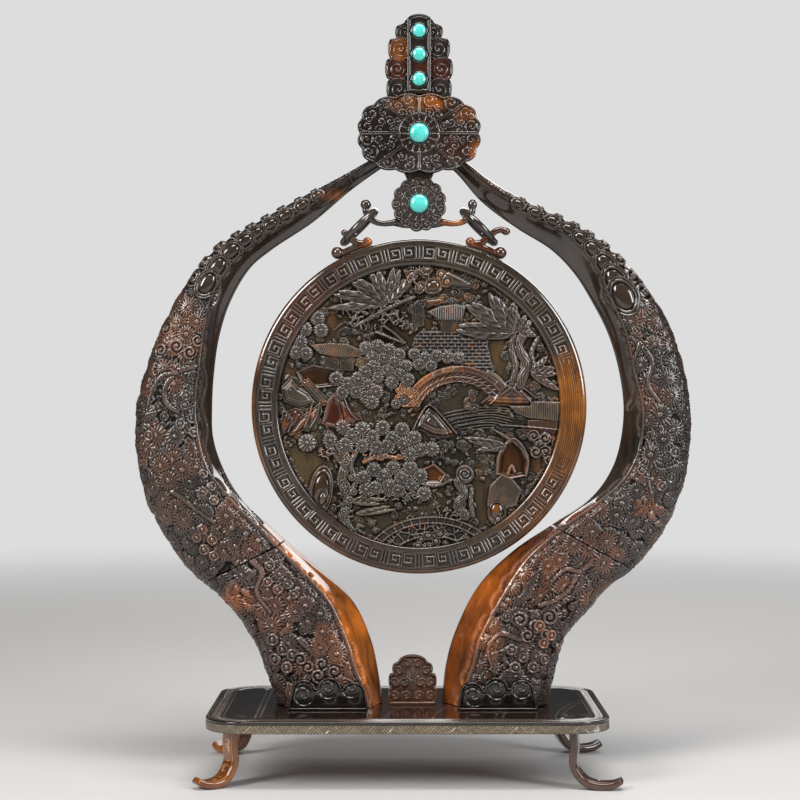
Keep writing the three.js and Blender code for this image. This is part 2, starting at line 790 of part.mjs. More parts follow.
// The raised strip on the plume: straight sides under a low round head
function plumeStrip() {
  const half = stripWidth / 2;
  const points = [[-half, stripFoot], [half, stripFoot]];
  for (let k = 0; k <= stripHeadSteps; k++) {
    const angle = (Math.PI * k) / stripHeadSteps;
    points.push([half * Math.cos(angle), stripTop - half * stripHead * (1 - Math.sin(angle))]);
  }
  return uprightPlate(points, stripFront, stripBack);
}

function pendant() {
  const rosette = scallopedOval(pendantRadius, pendantRadius, pendantEdge, pendantHeight);
  const right = neckRows.map(([inset, rise]) => [neckWidth / 2 - inset, pendantHeight + rise]);
  right.push([neckWidth / 2, crownHeight - neckTopDrop]);
  const left = right.map(([x, z]) => [-x, z]).reverse();
  const neck = uprightPlate(right.concat(left), plateFront, plateBack);
  return uprightPlate(rosette, plateFront, plateBack).add(neck);
}

function yoke() {
  const z = (drop) => yokeHeight - drop;
  const hook = yokeHook.map(([x, drop]) => [yokeReach + x, drop]);
  const half = (sign) => yokeBar.concat(hook).map(([x, drop]) => new THREE.Vector3(sign * x, 0, z(drop)));
  const left = half(-1);
  const right = half(1);
  const tongue = yokeTongue.map(([x, drop]) => [x, z(drop)]);
  return bentBar(left.slice(1).reverse().concat(right), barRadius, yokeSteps)
    .add(uprightPlate(tongue, -barRadius, barRadius))
    .add(ball(left[left.length - 1], yokeTipRadius))
    .add(ball(right[right.length - 1], yokeTipRadius));
}

// A domed stone on a short round seat; its back face lies at Y = 0 and its dome faces -Y
function cabochon(radius) {
  const wall = cabochonSeat + cabochonGirdle;
  const profile = [[0, 0], [radius, 0], [radius, wall]];
  for (let k = 1; k < cabochonSteps; k++) {
    const angle = (Math.PI / 2) * (k / cabochonSteps);
    profile.push([radius * Math.cos(angle), wall + radius * cabochonDome * Math.sin(angle)]);
  }
  profile.push([0, wall + radius * cabochonDome]);
  const geometry = new THREE.LatheGeometry(profile.map(([r, h]) => new THREE.Vector2(r, h)), cabochonSides);
  geometry.rotateX(Math.PI);
  return solidOf(geometry);
}

// A crown piece with the holes of its pegs and the seats of its stones
function fitted(solid, piece) {
  const holes = crownPegs
    .filter((peg) => peg.joins.includes(piece))
    .map((peg) => rodY(peg.x, peg.z, peg.front - seatGap, peg.back + seatGap, pegRadius + pegGap));
  const seats = crownStones
    .filter((stone) => stone.piece === piece)
    .map(({ z, front, radius }) => {
      const seatFloor = front + cabochonSeat + seatGap;
      return rodY(0, z, front - cutOver, seatFloor, radius + pegGap, seatSides);
    });
  return holes.concat(seats).reduce((rest, cut) => rest.subtract(cut), solid);
}

function buildCrown() {
  const crown = new THREE.Group();
  for (const { name, x, z, front, back } of crownPegs) {
    crown.add(part(name, rodY(x, z, front, back, pegRadius), wood));
  }
  for (const { name, z, front, radius } of crownStones) {
    const stone = part(name, cabochon(radius), turquoise);
    stone.position.set(0, front + cabochonSeat, z);
    crown.add(stone);
  }
  crown.add(part("crown_block", fitted(crownBlock(), "block"), horn("dark")));
  crown.add(part("crown_medallion", fitted(medallion(), "medallion"), horn("ivory")));
  crown.add(part("crown_plume", fitted(plume(), "plume"), horn("ivory")));
  crown.add(part("plume_strip", fitted(plumeStrip(), "strip"), horn("brown")));
  crown.add(part("pendant_rosette", fitted(pendant(), "pendant"), horn("ivory")));
  crown.add(part("yoke", fitted(yoke(), "yoke"), horn("brown")));
  return crown;
}

// Rings and disc

function ring(side, sign) {
  const geometry = new THREE.TorusGeometry(ringRadius, ringWireRadius, ringSides, ringSteps);
  const mesh = part(`${side}_ring`, solidOf(geometry), horn("ivory"));
  mesh.rotation.y = sign * ringSlope;
  mesh.position.set(sign * (yokeReach + barStepX), 0, yokeHeight - barStepZ);
  return mesh;
}

// The point at X = x on the upper side of a circle round the disc's middle
function overRim(x, radius) {
  return new THREE.Vector3(x, 0, Math.sqrt(radius ** 2 - x ** 2));
}

// The right-hand lug: a body along the rim, a lobe at each end, and a hook that passes through the ring
function lugSolid({ hookEnd, endRadius }) {
  const bodyPath = lugBody.map((x) => overRim(lugReach + x, rimSeat + barRadius));
  const hookPath = lugNeck.concat(hookEnd).map(([x, z]) => new THREE.Vector3(lugReach + x, 0, lugHeight + z));
  let lug = bentBar(bodyPath, barRadius, lugBodySteps).add(bentBar(hookPath, barRadius, lugHookSteps));
  lug = lug.add(ball(hookPath[hookPath.length - 1], endRadius));
  for (const lobe of [lugOuterLobe, lugInnerLobe]) {
    lug = lug.add(ball(overRim(lugReach + lobe.x, rimSeat + lobe.radius), lobe.radius));
  }
  return lug;
}

// The pin from a right-hand lug's outer lobe into the rim, with a length and a radius to spare
function lugPin(spareLength, spareRadius) {
  const lobe = overRim(lugReach + lugOuterLobe.x, rimSeat + lugOuterLobe.radius);
  const outward = lobe.clone().normalize();
  const start = outward.clone().multiplyScalar(discRadius - lugPinDepth - spareLength);
  return rod(start, lobe.addScaledVector(outward, spareLength), lugPinRadius + spareRadius, pinSides);
}

function rimSolid() {
  const half = rimThickness / 2;
  const inner = discRadius - rimWidth;
  const profile = [
    [inner, -half + rimLipDepth],
    [inner + rimLipWidth, -half],
    [discRadius - rimChamfer, -half],
    [discRadius, -half + rimChamfer],
    [discRadius, half - rimChamfer],
    [discRadius - rimChamfer, half],
    [inner + rimLipWidth, half],
    [inner, half - rimLipDepth],
    [inner, -half + rimLipDepth],
  ];
  return solidOf(new THREE.LatheGeometry(profile.map(([r, y]) => new THREE.Vector2(r, y)), discSides));
}

function buildDisc() {
  const disc = new THREE.Group();
  disc.position.z = discHeight;

  let rim = rimSolid();
  for (const [side, style] of Object.entries(lugStyles)) {
    const placed = (solid) => (side === "left" ? solid.mirror([1, 0, 0]) : solid);
    const hole = lugPin(seatGap, pegGap);
    rim = rim.subtract(placed(hole));
    disc.add(part(`${side}_lug`, placed(lugSolid(style).subtract(hole)), horn(style.colour)));
    disc.add(part(`lug_pin_${side}`, placed(lugPin(0, 0)), wood));
  }
  disc.add(part("disc_rim", rim, horn("olive")));

  const round = circle(panelRadius, discSides);
  const coreHalf = coreThickness / 2;
  const inFront = -coreHalf - seatGap;
  const behind = coreHalf + seatGap;
  disc.add(part("disc_core", uprightPlate(round, -coreHalf, coreHalf), wood));
  disc.add(part("disc_panel_front", uprightPlate(round, inFront - panelRelief, inFront), horn("olive")));
  disc.add(part("disc_panel_back", uprightPlate(round, behind, behind + backThickness), horn("dark")));
  return disc;
}

// Cloud plaques

// A low cloud with three round heads along its top, on the right-hand arm's foot
function plaqueOutline() {
  const points = [[-plaqueWidth / 2, 0], [plaqueWidth / 2, 0]];
  const [arcStart, arcEnd] = plaqueHeadArc;
  for (const [middle, top] of plaqueHeads) {
    for (let k = 0; k <= plaqueHeadSteps; k++) {
      const angle = Math.PI * (arcStart + ((arcEnd - arcStart) * k) / plaqueHeadSteps);
      points.push([
        plaqueWidth * (middle + plaqueHeadHalfWidth * Math.cos(angle)),
        plaqueHeight * (top - plaqueHeadHeight * (1 - Math.sin(angle))),
      ]);
    }
  }
  return points;
}

function footPlaque(side) {
  const middle = middleOf(side, 0).x;
  const back = -armCurves(side).form.getPoint(0).y - seatGap;
  const points = plaqueOutline().map(([x, z]) => [middle + (side === "left" ? x : -x), z + seatGap]);
  if (side === "right") points.reverse();
  return uprightPlate(points, back - plaqueThickness, back);
}

// X of the middle between the arms' feet
function cloudMiddle() {
  return (middleOf("left", 0, "inner").x + middleOf("right", 0, "inner").x) / 2;
}

function centreCloud() {
  const middle = cloudMiddle();
  const half = middleOf("right", 0, "inner").x - middle - cloudSideGap;
  const tiers = cloudTiers.map(([inset, head]) => [half - inset, head]);
  const rows = lobeRows(tiers, seatGap, cloudHeight);
  const outline = lobedOutline(rows, cloudBulge, half - cloudCapInset, cloudHeight);
  const placed = outline.map(([x, z]) => [x + middle, z]);
  const cloud = uprightPlate(placed, cloudFront, cloudFront + cloudThickness);
  const tab = box(
    [middle - cloudTabWidth / 2, cloudFront + cloudTabInset, -topThickness - cloudTabDepth],
    [middle + cloudTabWidth / 2, cloudFront + cloudThickness - cloudTabInset, seatGap + cloudTabRoot],
  );
  return cloud.add(tab);
}

function buildPlaques() {
  const plaques = new THREE.Group();
  for (const side of ["left", "right"]) {
    plaques.add(part(`foot_plaque_${side}`, footPlaque(side), horn("dark")));
  }
  plaques.add(part("centre_cloud", centreCloud(), horn("brown")));
  return plaques;
}

// The whole

const upper = new THREE.Group();
upper.position.set(hangLine, 0, platformTop);
upper.add(buildArm("left"));
upper.add(buildArm("right"));
upper.add(buildPlaques());
upper.add(buildCrown());
upper.add(ring("left", -1));
upper.add(ring("right", 1));
upper.add(buildDisc());

const screen = new THREE.Group();
screen.add(buildStand());
screen.add(upper);

export default screen;
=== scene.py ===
# A carved horn hanging screen. The scene is in metres; its pieces are drawn in millimetres.
import json
import math
from types import SimpleNamespace
import bpy
import bmesh
import numpy as np
from mathutils import Matrix, Vector


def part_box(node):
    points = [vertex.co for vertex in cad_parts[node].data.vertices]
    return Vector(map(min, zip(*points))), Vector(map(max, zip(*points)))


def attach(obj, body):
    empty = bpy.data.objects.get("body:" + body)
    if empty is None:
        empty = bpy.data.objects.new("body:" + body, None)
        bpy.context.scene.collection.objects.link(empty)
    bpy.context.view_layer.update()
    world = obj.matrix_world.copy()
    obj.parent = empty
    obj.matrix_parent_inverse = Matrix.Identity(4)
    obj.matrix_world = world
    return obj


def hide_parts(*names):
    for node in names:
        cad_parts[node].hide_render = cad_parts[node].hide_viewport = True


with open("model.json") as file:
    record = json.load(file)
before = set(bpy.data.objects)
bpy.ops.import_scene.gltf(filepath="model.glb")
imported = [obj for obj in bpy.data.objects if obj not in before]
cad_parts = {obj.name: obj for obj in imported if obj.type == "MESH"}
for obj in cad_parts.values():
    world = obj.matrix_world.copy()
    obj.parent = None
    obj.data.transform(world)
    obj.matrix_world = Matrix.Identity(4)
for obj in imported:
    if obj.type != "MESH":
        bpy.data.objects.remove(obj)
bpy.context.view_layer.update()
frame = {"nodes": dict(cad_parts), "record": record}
print("frame loaded")

mm = 0.001
hangLine = 4.0  # X of the line that the crown and the disc hang on
platformTop = 41.3
view = {"x": -7.75, "y": -1150.0, "z": 229.0, "reach": 1855.0, "middle": 400.0}  # the front view, in its own units
# groove carries painted shade in hollows; crest lightens crests (painted sheen with rubbed wear) and engraved lines
markNames = ("groove", "crest", "amber", "red", "olive", "grey", "polish")


# Small tools

def smooth(low, high, x):  # 0 at low, 1 at high
    t = np.clip((x - low) / (high - low), 0.0, 1.0)
    return t * t * (3.0 - 2.0 * t)


def ridge(x, width):  # 1 on a line, 0 from its width outwards
    return smooth(width, 0.0, np.abs(x))


def unit(v):
    return v / np.maximum(np.linalg.norm(v, axis=-1, keepdims=True), 1e-9)


def splineAt(points, t):  # a centripetal curve through points, t from 0 to 1
    points = np.asarray(points, float)
    padded = np.vstack([2 * points[:1] - points[1:2], points, 2 * points[-1:] - points[-2:-1]])
    steps = np.maximum(np.sum(np.diff(padded, axis=0) ** 2, axis=1) ** 0.25, 1e-4)
    along = np.clip(np.asarray(t, float), 0.0, 1.0) * (len(points) - 1)
    k = np.minimum(along.astype(int), len(points) - 2)
    w = (along - k)[..., None]
    p0, p1, p2, p3 = (padded[k + i] for i in range(4))
    d0, d1, d2 = (steps[k + i][..., None] for i in range(3))
    t1 = ((p1 - p0) / d0 - (p2 - p0) / (d0 + d1) + (p2 - p1) / d1) * d1
    t2 = ((p2 - p1) / d1 - (p3 - p1) / (d1 + d2) + (p3 - p2) / d2) * d1
    return p1 + t1 * w + (-3 * p1 + 3 * p2 - 2 * t1 - t2) * w ** 2 + (2 * p1 - 2 * p2 + t1 + t2) * w ** 3


def fromFront(px, py, y=0.0):  # a place in the front view, on the plane at depth y, in mm
    far = (y - view["y"]) / view["reach"]
    return (px - view["middle"]) * far + view["x"], view["z"] - (py - view["middle"]) * far


def polygonDepth(x, y, corners):  # how far inside a polygon each point lies, negative outside
    inside = np.zeros(x.shape, bool)
    near = np.full(x.shape, 1e9)
    for (ax, ay), (bx, by) in zip(corners, corners[1:] + corners[:1]):
        ex, ey = bx - ax, by - ay
        t = np.clip(((x - ax) * ex + (y - ay) * ey) / (ex * ex + ey * ey + 1e-12), 0, 1)
        near = np.minimum(near, np.hypot(x - ax - t * ex, y - ay - t * ey))
        if ay != by:
            inside ^= ((ay > y) != (by > y)) & (x < (y - ay) * ex / ey + ax)
    return np.where(inside, near, -near)


def pathNear(points, x, y, z=None):  # distance from a path, share along it, and the side it lies on
    near = np.full(x.shape, 1e9)
    share = np.zeros(x.shape)
    side = np.zeros(x.shape)
    count = len(points) - 1
    for k in range(count):
        a, b = np.asarray(points[k], float), np.asarray(points[k + 1], float)
        e = b - a
        p = np.stack([x, y] if z is None else [x, y, z], axis=-1) - a
        t = np.clip((p @ e) / (e @ e + 1e-12), 0, 1)
        d = np.linalg.norm(p - t[..., None] * e, axis=-1)
        closer = d < near
        near = np.where(closer, d, near)
        share = np.where(closer, (k + t) / count, share)
        side = np.where(closer, np.sign(e[0] * p[..., 1] - e[1] * p[..., 0]), side)
    return near, share, side


# Reliefs: a surface's points, how deep each is carved, and its marks of colour, wear, painted shade and painted sheen

def newRelief(points, normals):
    flat = points.reshape(-1, 3).astype(float)
    far = (flat[:, 1] - view["y"]) / view["reach"]
    return SimpleNamespace(
        shape=points.shape[:2], points=flat, normals=normals.reshape(-1, 3).astype(float),
        px=(flat[:, 0] - view["x"]) / far + view["middle"], py=(view["z"] - flat[:, 2]) / far + view["middle"],
        height=np.zeros(len(flat)), marks={name: np.zeros(len(flat)) for name in markNames})


def layOn(relief, pick, height, cover, marks):  # lays a motif over what is there
    relief.height[pick] += (height - relief.height[pick]) * cover
    for name, value in marks.items():
        relief.marks[name][pick] += (value - relief.marks[name][pick]) * cover


def tint(relief, px, py, size, strength=1.0, **marks):  # a soft patch of colour in the front view
    sx, sy = (size, size) if np.isscalar(size) else size
    cover = strength * smooth(1.0, 0.25, np.hypot((relief.px - px) / sx, (relief.py - py) / sy))
    for name, value in marks.items():
        relief.marks[name] += (value - relief.marks[name]) * cover


def frontVertex(relief, px, py):
    away = (relief.px - px) ** 2 + (relief.py - py) ** 2 + np.where(relief.normals[:, 1] > -0.05, 1e6, 0.0)
    return int(np.argmin(away))


def local(relief, centre, reach, turn):  # the points round a vertex, in its own plane
    middle, normal = relief.points[centre], relief.normals[centre]
    near = np.abs(relief.points[:, 0] - middle[0]) < reach
    near &= np.abs(relief.points[:, 2] - middle[2]) < reach
    pick = np.nonzero(near)[0]
    pick = pick[(relief.normals[pick] @ normal > 0.15)]
    away = relief.points[pick] - middle
    pick, away = pick[np.abs(away @ normal) < reach], away[np.abs(away @ normal) < reach]
    up = np.array([0.0, 0.0, 1.0]) - normal * normal[2]
    up = up / max(np.linalg.norm(up), 1e-6)
    side = np.cross(up, normal)
    c, s = math.cos(math.radians(turn)), math.sin(math.radians(turn))
    u, v = away @ side, away @ up
    return pick, c * u + s * v, -s * u + c * v


def stamp(relief, place, size, motif, turn=0.0, level=0.0, marks=None, **form):
    centre = place if np.isscalar(place) else frontVertex(relief, *place)
    pick, u, v = local(relief, centre, size * form.get("long", 1.0) * 1.15, turn)
    if len(pick):
        height, cover = motif(u, v, size, **form)
        layOn(relief, pick, level + height, cover, marks or {})


def scatter(relief, zone, spacing, dice, tries=4000):  # vertices of a zone, none nearer than the spacing
    found = np.nonzero(zone)[0]
    kept = []
    if not len(found):
        return kept
    spots = np.empty((0, 3))
    for k in dice.choice(found, min(tries, len(found)), replace=False):
        p = relief.points[k]
        if not len(spots) or np.min(np.sum((spots - p) ** 2, axis=1)) > spacing ** 2:
            spots = np.vstack([spots, p])
            kept.append(int(k))
    return kept


def blur(grid, times, wrap=False):
    for _ in range(times):
        grid = (grid + np.roll(grid, 1, 1) + np.roll(grid, -1, 1)) / 3 if wrap else _soften(grid, 1)
        grid = _soften(grid, 0)
    return grid


def _soften(grid, axis):
    padded = np.concatenate([grid.take([0], axis), grid, grid.take([-1], axis)], axis)
    size = grid.shape[axis]
    return (padded.take(range(size), axis) + grid + padded.take(range(2, size + 2), axis)) / 3


def readShadeAndSheen(relief, deep=2.2, wrap=False, times=5):  # the hollows get painted shade; the crests are lightened, partly as rubbed wear and partly as painted sheen
    h = relief.height.reshape(relief.shape)
    local_ = (h - blur(h, times, wrap)).ravel()
    low = smooth(-0.15, -deep, relief.height)
    # groove marks where painted shade darkens the hollows; crest marks where painted sheen, with some rubbed wear,
    # lightens the crests
    relief.marks["groove"] = np.clip(np.maximum(smooth(0.02, -0.2, local_), 0.6 * low), 0, 1)
    relief.marks["crest"] = smooth(0.05, 0.24, local_) * (1 - 0.8 * low)


# Motifs. Each gives its height under the top of the surface and how much it covers.

def pineDisc(u, v, size, spokes=18, deep=0.55, dome=0.5, ragged=0.05):
    rho, angle = np.hypot(u, v) / size, np.arctan2(v, u)
    petal = np.abs(np.sin(angle * spokes / 2))
    t = rho / (1 - ragged * (1 - petal))
    line = (0.5 + 0.5 * np.cos(angle * spokes)) * smooth(0.14, 0.3, t)
    height = -dome * t ** 2 - deep * line + 0.15 * smooth(0.22, 0.1, t) - 0.4 * ridge(t - 0.24, 0.07)
    height -= 0.35 * ridge(t - 0.88, 0.05)
    return height, 1 - smooth(0.96, 1.06, t)


def ringedPearl(u, v, size):
    rho = np.hypot(u, v) / size
    bead = np.sqrt(np.clip(1 - (rho / 0.46) ** 2, 0, 1))
    hoop = np.sqrt(np.clip(1 - ((rho - 0.76) / 0.22) ** 2, 0, 1))
    return -0.95 + 0.95 * np.maximum(bead, 0.9 * hoop), 1 - smooth(0.94, 1.02, rho)


def boss(u, v, size, squash=0.72, rise=1.6):  # a polished round swelling inside two raised rims
    rho, angle = np.hypot(u, v / squash) / size, np.arctan2(v / squash, u)
    dome = np.sqrt(np.clip(1 - (rho / 0.66) ** 2, 0, 1))
    height = -rise + rise * dome
    height = np.maximum(height, -0.35 - 0.9 * (1 - ridge(rho - 0.8, 0.1)))
    height = np.maximum(height, -0.25 - 0.9 * (1 - ridge(rho - 0.97, 0.1)))
    return height, 1 - smooth(0.99, 1.07, rho)


def scroll(u, v, size, turns=1.6, hand=1, deep=0.9, width=0.5, phase=0.0):  # a ridge wound into a spiral
    rho, angle = np.hypot(u, v) / size, np.arctan2(v, u)
    wave = np.cos(2 * np.pi * (rho * turns - hand * (angle + phase) / (2 * np.pi)))
    height = -deep * (1 - smooth(-width, 1 - width * 0.4, wave))
    height = np.where(rho < 0.3 / turns, 0.0, height)
    return height, 1 - smooth(0.96, 1.06, rho)


def leaf(u, v, size, long=2.2, veins=7.0, deep=0.5, bow=0.0):  # a blade along u, from its foot at the middle
    t = u / (size * long)
    width = 0.44 * size * np.sqrt(np.clip(np.sin(np.pi * np.clip(t, 0, 1) ** 0.75), 0, 1)) + 1e-6
    side = (v - bow * size * t ** 2) / width
    inside = (t > 0) & (t < 1) & (np.abs(side) < 1.15)
    rib = ridge(side, 0.16)
    hatch = np.cos(2 * np.pi * (t * veins * long / 2 - 0.7 * np.abs(side)))
    height = -0.35 * side ** 2 - deep * (0.5 - 0.5 * hatch) * (1 - rib) + 0.15 * rib
    return height, np.where(inside, 1 - smooth(0.9, 1.12, np.abs(side)), 0.0)


def stone(u, v, size, sides=5, lines=2.0, deep=1.3, skew=0.25):  # a cut rock with ridged faces
    angle = np.arctan2(v + skew * size, u)
    rho = np.hypot(u, v + skew * size) / size
    wedge = np.pi / sides
    face = rho * np.cos(np.mod(angle, 2 * wedge) - wedge)
    height = -deep * face - 0.12 * (1 - np.cos(2 * np.pi * face * lines))
    return height, 1 - smooth(0.78, 0.86, face)


def lobe(u, v, size, rims=2):  # a cloud head: smooth inside, stepped rims outside
    rho = np.hypot(u, v) / size
    height = -0.9 + 0.75 * np.sqrt(np.clip(1 - (rho / 0.62) ** 2, 0, 1))
    for k in range(rims):
        height = np.maximum(height, -0.9 + 0.9 * ridge(rho - 0.72 - 0.2 * k, 0.1))
    return height, 1 - smooth(0.97, 1.05, rho)


def curl(u, v, size, hand=1, turns=1.5, phase=0.0, line=0.5):  # a thin raised spiral on a rounded ground
    rho, angle = np.hypot(u, v) / size, np.arctan2(v, u)
    wave = np.cos(2 * np.pi * (rho * turns - hand * (angle + phase) / (2 * np.pi)))
    height = np.maximum(-0.85 + 0.45 * np.sqrt(np.clip(1 - rho ** 2, 0, 1)), -0.85 + 0.85 * smooth(line, 0.97, wave))
    return height, 1 - smooth(0.95, 1.06, rho)


def branch(relief, places, width, level=-0.2, lines=3.0, deep=0.35, knots=0.0, marks=None, ends=True):
    spots = [relief.points[frontVertex(relief, *p)] if not np.isscalar(p) else relief.points[p] for p in places]
    curve = splineAt(spots, np.linspace(0, 1, 5 * len(spots)))
    low, high = curve.min(axis=0) - width * 1.3, curve.max(axis=0) + width * 1.3
    pick = np.nonzero(np.all((relief.points > low) & (relief.points < high), axis=1))[0]
    if not len(pick):
        return
    p = relief.points[pick]
    near, share, side = pathNear(curve, p[:, 0], p[:, 1], p[:, 2])
    taper = 1 - 0.45 * share
    swell = 1 + knots * np.sin(share * 37.0) * np.sin(share * 17.0 + 1)
    across = near / (width * taper * swell)
    height = level - 1.1 * across ** 2 - deep * (0.5 + 0.5 * np.cos(2 * np.pi * (across * side * lines + 0.6 * np.sin(share * 25))))
    layOn(relief, pick, height, 1 - smooth(0.9, 1.05, across), marks or {})


# Grids to meshes

def gridMesh(name, points, marks):
    rows, columns = points.shape[:2]
    bm = bmesh.new()
    bmesh.ops.create_grid(bm, x_segments=columns - 1, y_segments=rows - 1, size=1)
    mesh = bpy.data.meshes.new(name)
    bm.to_mesh(mesh)
    bm.free()
    mesh.vertices.foreach_set("co", (points.reshape(-1, 3) * mm).astype(np.float32).ravel())
    for mark, values in marks.items():
        layer = mesh.attributes.new(mark, "FLOAT", "POINT")
        layer.data.foreach_set("value", np.clip(values, 0, 1).astype(np.float32).ravel())
    return mesh


def openEdges(bm):
    return [edge for edge in bm.edges if edge.is_boundary]


def closeTube(mesh, columns):  # joins a wrapped grid's first and last columns, and closes its two ends
    bm = bmesh.new()
    bm.from_mesh(mesh)
    bm.verts.ensure_lookup_table()
    seam = [v for k, v in enumerate(bm.verts) if k % columns in (0, columns - 1)]
    bmesh.ops.remove_doubles(bm, verts=seam, dist=1e-7)
    bmesh.ops.holes_fill(bm, edges=openEdges(bm), sides=0)
    bmesh.ops.recalc_face_normals(bm, faces=bm.faces)
    bm.to_mesh(mesh)
    bm.free()


def closePlate(mesh, back, wrapColumns=0, axis=1):  # gives a carved front its edge wall and its flat back
    bm = bmesh.new()
    bm.from_mesh(mesh)
    bm.verts.ensure_lookup_table()
    if wrapColumns:
        seam = [v for k, v in enumerate(bm.verts) if k % wrapColumns in (0, wrapColumns - 1)]
        bmesh.ops.remove_doubles(bm, verts=seam, dist=1e-7)
        inner = min(openEdges(bm), key=lambda e: e.verts[0].index)
        hole = ringFrom(inner)
        bmesh.ops.holes_fill(bm, edges=hole, sides=0)
    rim = openEdges(bm)
    for edge in rim:
        edge.smooth = False
    made = bmesh.ops.extrude_edge_only(bm, edges=rim)["geom"]
    for item in made:
        if isinstance(item, bmesh.types.BMVert):
            item.co[axis] = back * mm
    outer = [e for e in made if isinstance(e, bmesh.types.BMEdge) and e.is_boundary]
    for edge in outer:
        edge.smooth = False
    bmesh.ops.holes_fill(bm, edges=outer, sides=0)
    bmesh.ops.recalc_face_normals(bm, faces=bm.faces)
    bm.to_mesh(mesh)
    bm.free()


def ringFrom(edge):  # the loop of open edges that an edge is in
    found, todo = {edge}, [edge]
    while todo:
        for vert in todo.pop().verts:
            for other in vert.link_edges:
                if other.is_boundary and other not in found:
                    found.add(other)
                    todo.append(other)
    return list(found)


def place(name, mesh, material, body, slot, *nodes, flat=False):
    mesh.materials.append(material)
    if not flat:
        mesh.polygons.foreach_set("use_smooth", np.ones(len(mesh.polygons), bool))
    thing = bpy.data.objects.new(name, mesh)
    bpy.context.scene.collection.objects.link(thing)
    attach(thing, body)
    if nodes:
        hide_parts(*nodes)
    return thing


def surfaceNormals(points, wrap, inside=None):
    along = np.gradient(points, axis=0)
    across = (np.roll(points, -1, 1) - np.roll(points, 1, 1)) if wrap else np.gradient(points, axis=1)
    normals = unit(np.cross(across, along))
    middle = points.mean(axis=1, keepdims=True) if inside is None else inside
    flip = np.sign(np.sum(normals * (points - middle)))
    return normals * flip


# Materials

def add(tree, kind, inputs=None, **settings):
    node = tree.nodes.new("ShaderNode" + kind)
    for key, value in settings.items():
        setattr(node, key, value)
    for socket, value in (inputs or {}).items():
        if isinstance(value, bpy.types.NodeSocket):
            tree.links.new(value, node.inputs[socket])
        else:
            node.inputs[socket].default_value = value
    return node


def mixColour(tree, factor, a, b, blend="MIX"):
    node = add(tree, "Mix", data_type="RGBA", blend_type=blend)
    for socket, value in ((0, factor), (6, a), (7, b)):
        if isinstance(value, bpy.types.NodeSocket):
            tree.links.new(value, node.inputs[socket])
        else:
            node.inputs[socket].default_value = value
    return node.outputs[2]


def maths(tree, what, a, b=0.0):
    return add(tree, "Math", {0: a, 1: b}, operation=what).outputs[0]


def newGroup(name, inputs, outputs):
    group = bpy.data.node_groups.new(name, "ShaderNodeTree")
    for socket, kind in inputs:
        group.interface.new_socket(socket, in_out="INPUT", socket_type="NodeSocket" + kind)
    for socket, kind in outputs:
        group.interface.new_socket(socket, in_out="OUTPUT", socket_type="NodeSocket" + kind)
    return group, group.nodes.new("NodeGroupInput"), group.nodes.new("NodeGroupOutput")


def hornFigureGroup():  # cloudy streaks between a dark and a light colour, as in cut horn
    group, given, out = newGroup("hornFigure", [("Dark", "Color"), ("Light", "Color"), ("Scale", "Float"), ("Contrast", "Float")],
                                 [("Color", "Color"), ("Mask", "Float")])
    place_ = add(group, "TexCoord").outputs["Object"]
    warp = add(group, "TexNoise", {"Vector": place_, "Scale": 28.0, "Detail": 3.0})
    bent = add(group, "VectorMath", {0: warp.outputs["Color"], 3: 0.016}, operation="SCALE").outputs[0]
    moved = add(group, "VectorMath", {0: place_, 1: bent}, operation="ADD").outputs[0]
    cloud = add(group, "TexNoise", {"Vector": moved, "Scale": given.outputs["Scale"], "Detail": 5.0, "Roughness": 0.6})
    streaks = add(group, "Mapping", {"Vector": moved, "Scale": (3.2, 3.2, 0.5), "Rotation": (0.0, 0.5, 0.0)})
    streak = add(group, "TexNoise", {"Vector": streaks.outputs[0], "Scale": 60.0, "Detail": 4.0, "Roughness": 0.55})
    both = maths(group, "ADD", maths(group, "MULTIPLY", cloud.outputs[0], 0.65), maths(group, "MULTIPLY", streak.outputs[0], 0.35))
    spread = maths(group, "MULTIPLY", maths(group, "SUBTRACT", both, 0.5), given.outputs["Contrast"])
    mask = add(group, "Math", {0: spread, 1: 0.5}, operation="ADD", use_clamp=True).outputs[0]
    colour = mixColour(group, mask, given.outputs["Dark"], given.outputs["Light"])
    group.links.new(colour, out.inputs["Color"])
    group.links.new(mask, out.inputs["Mask"])
    return group


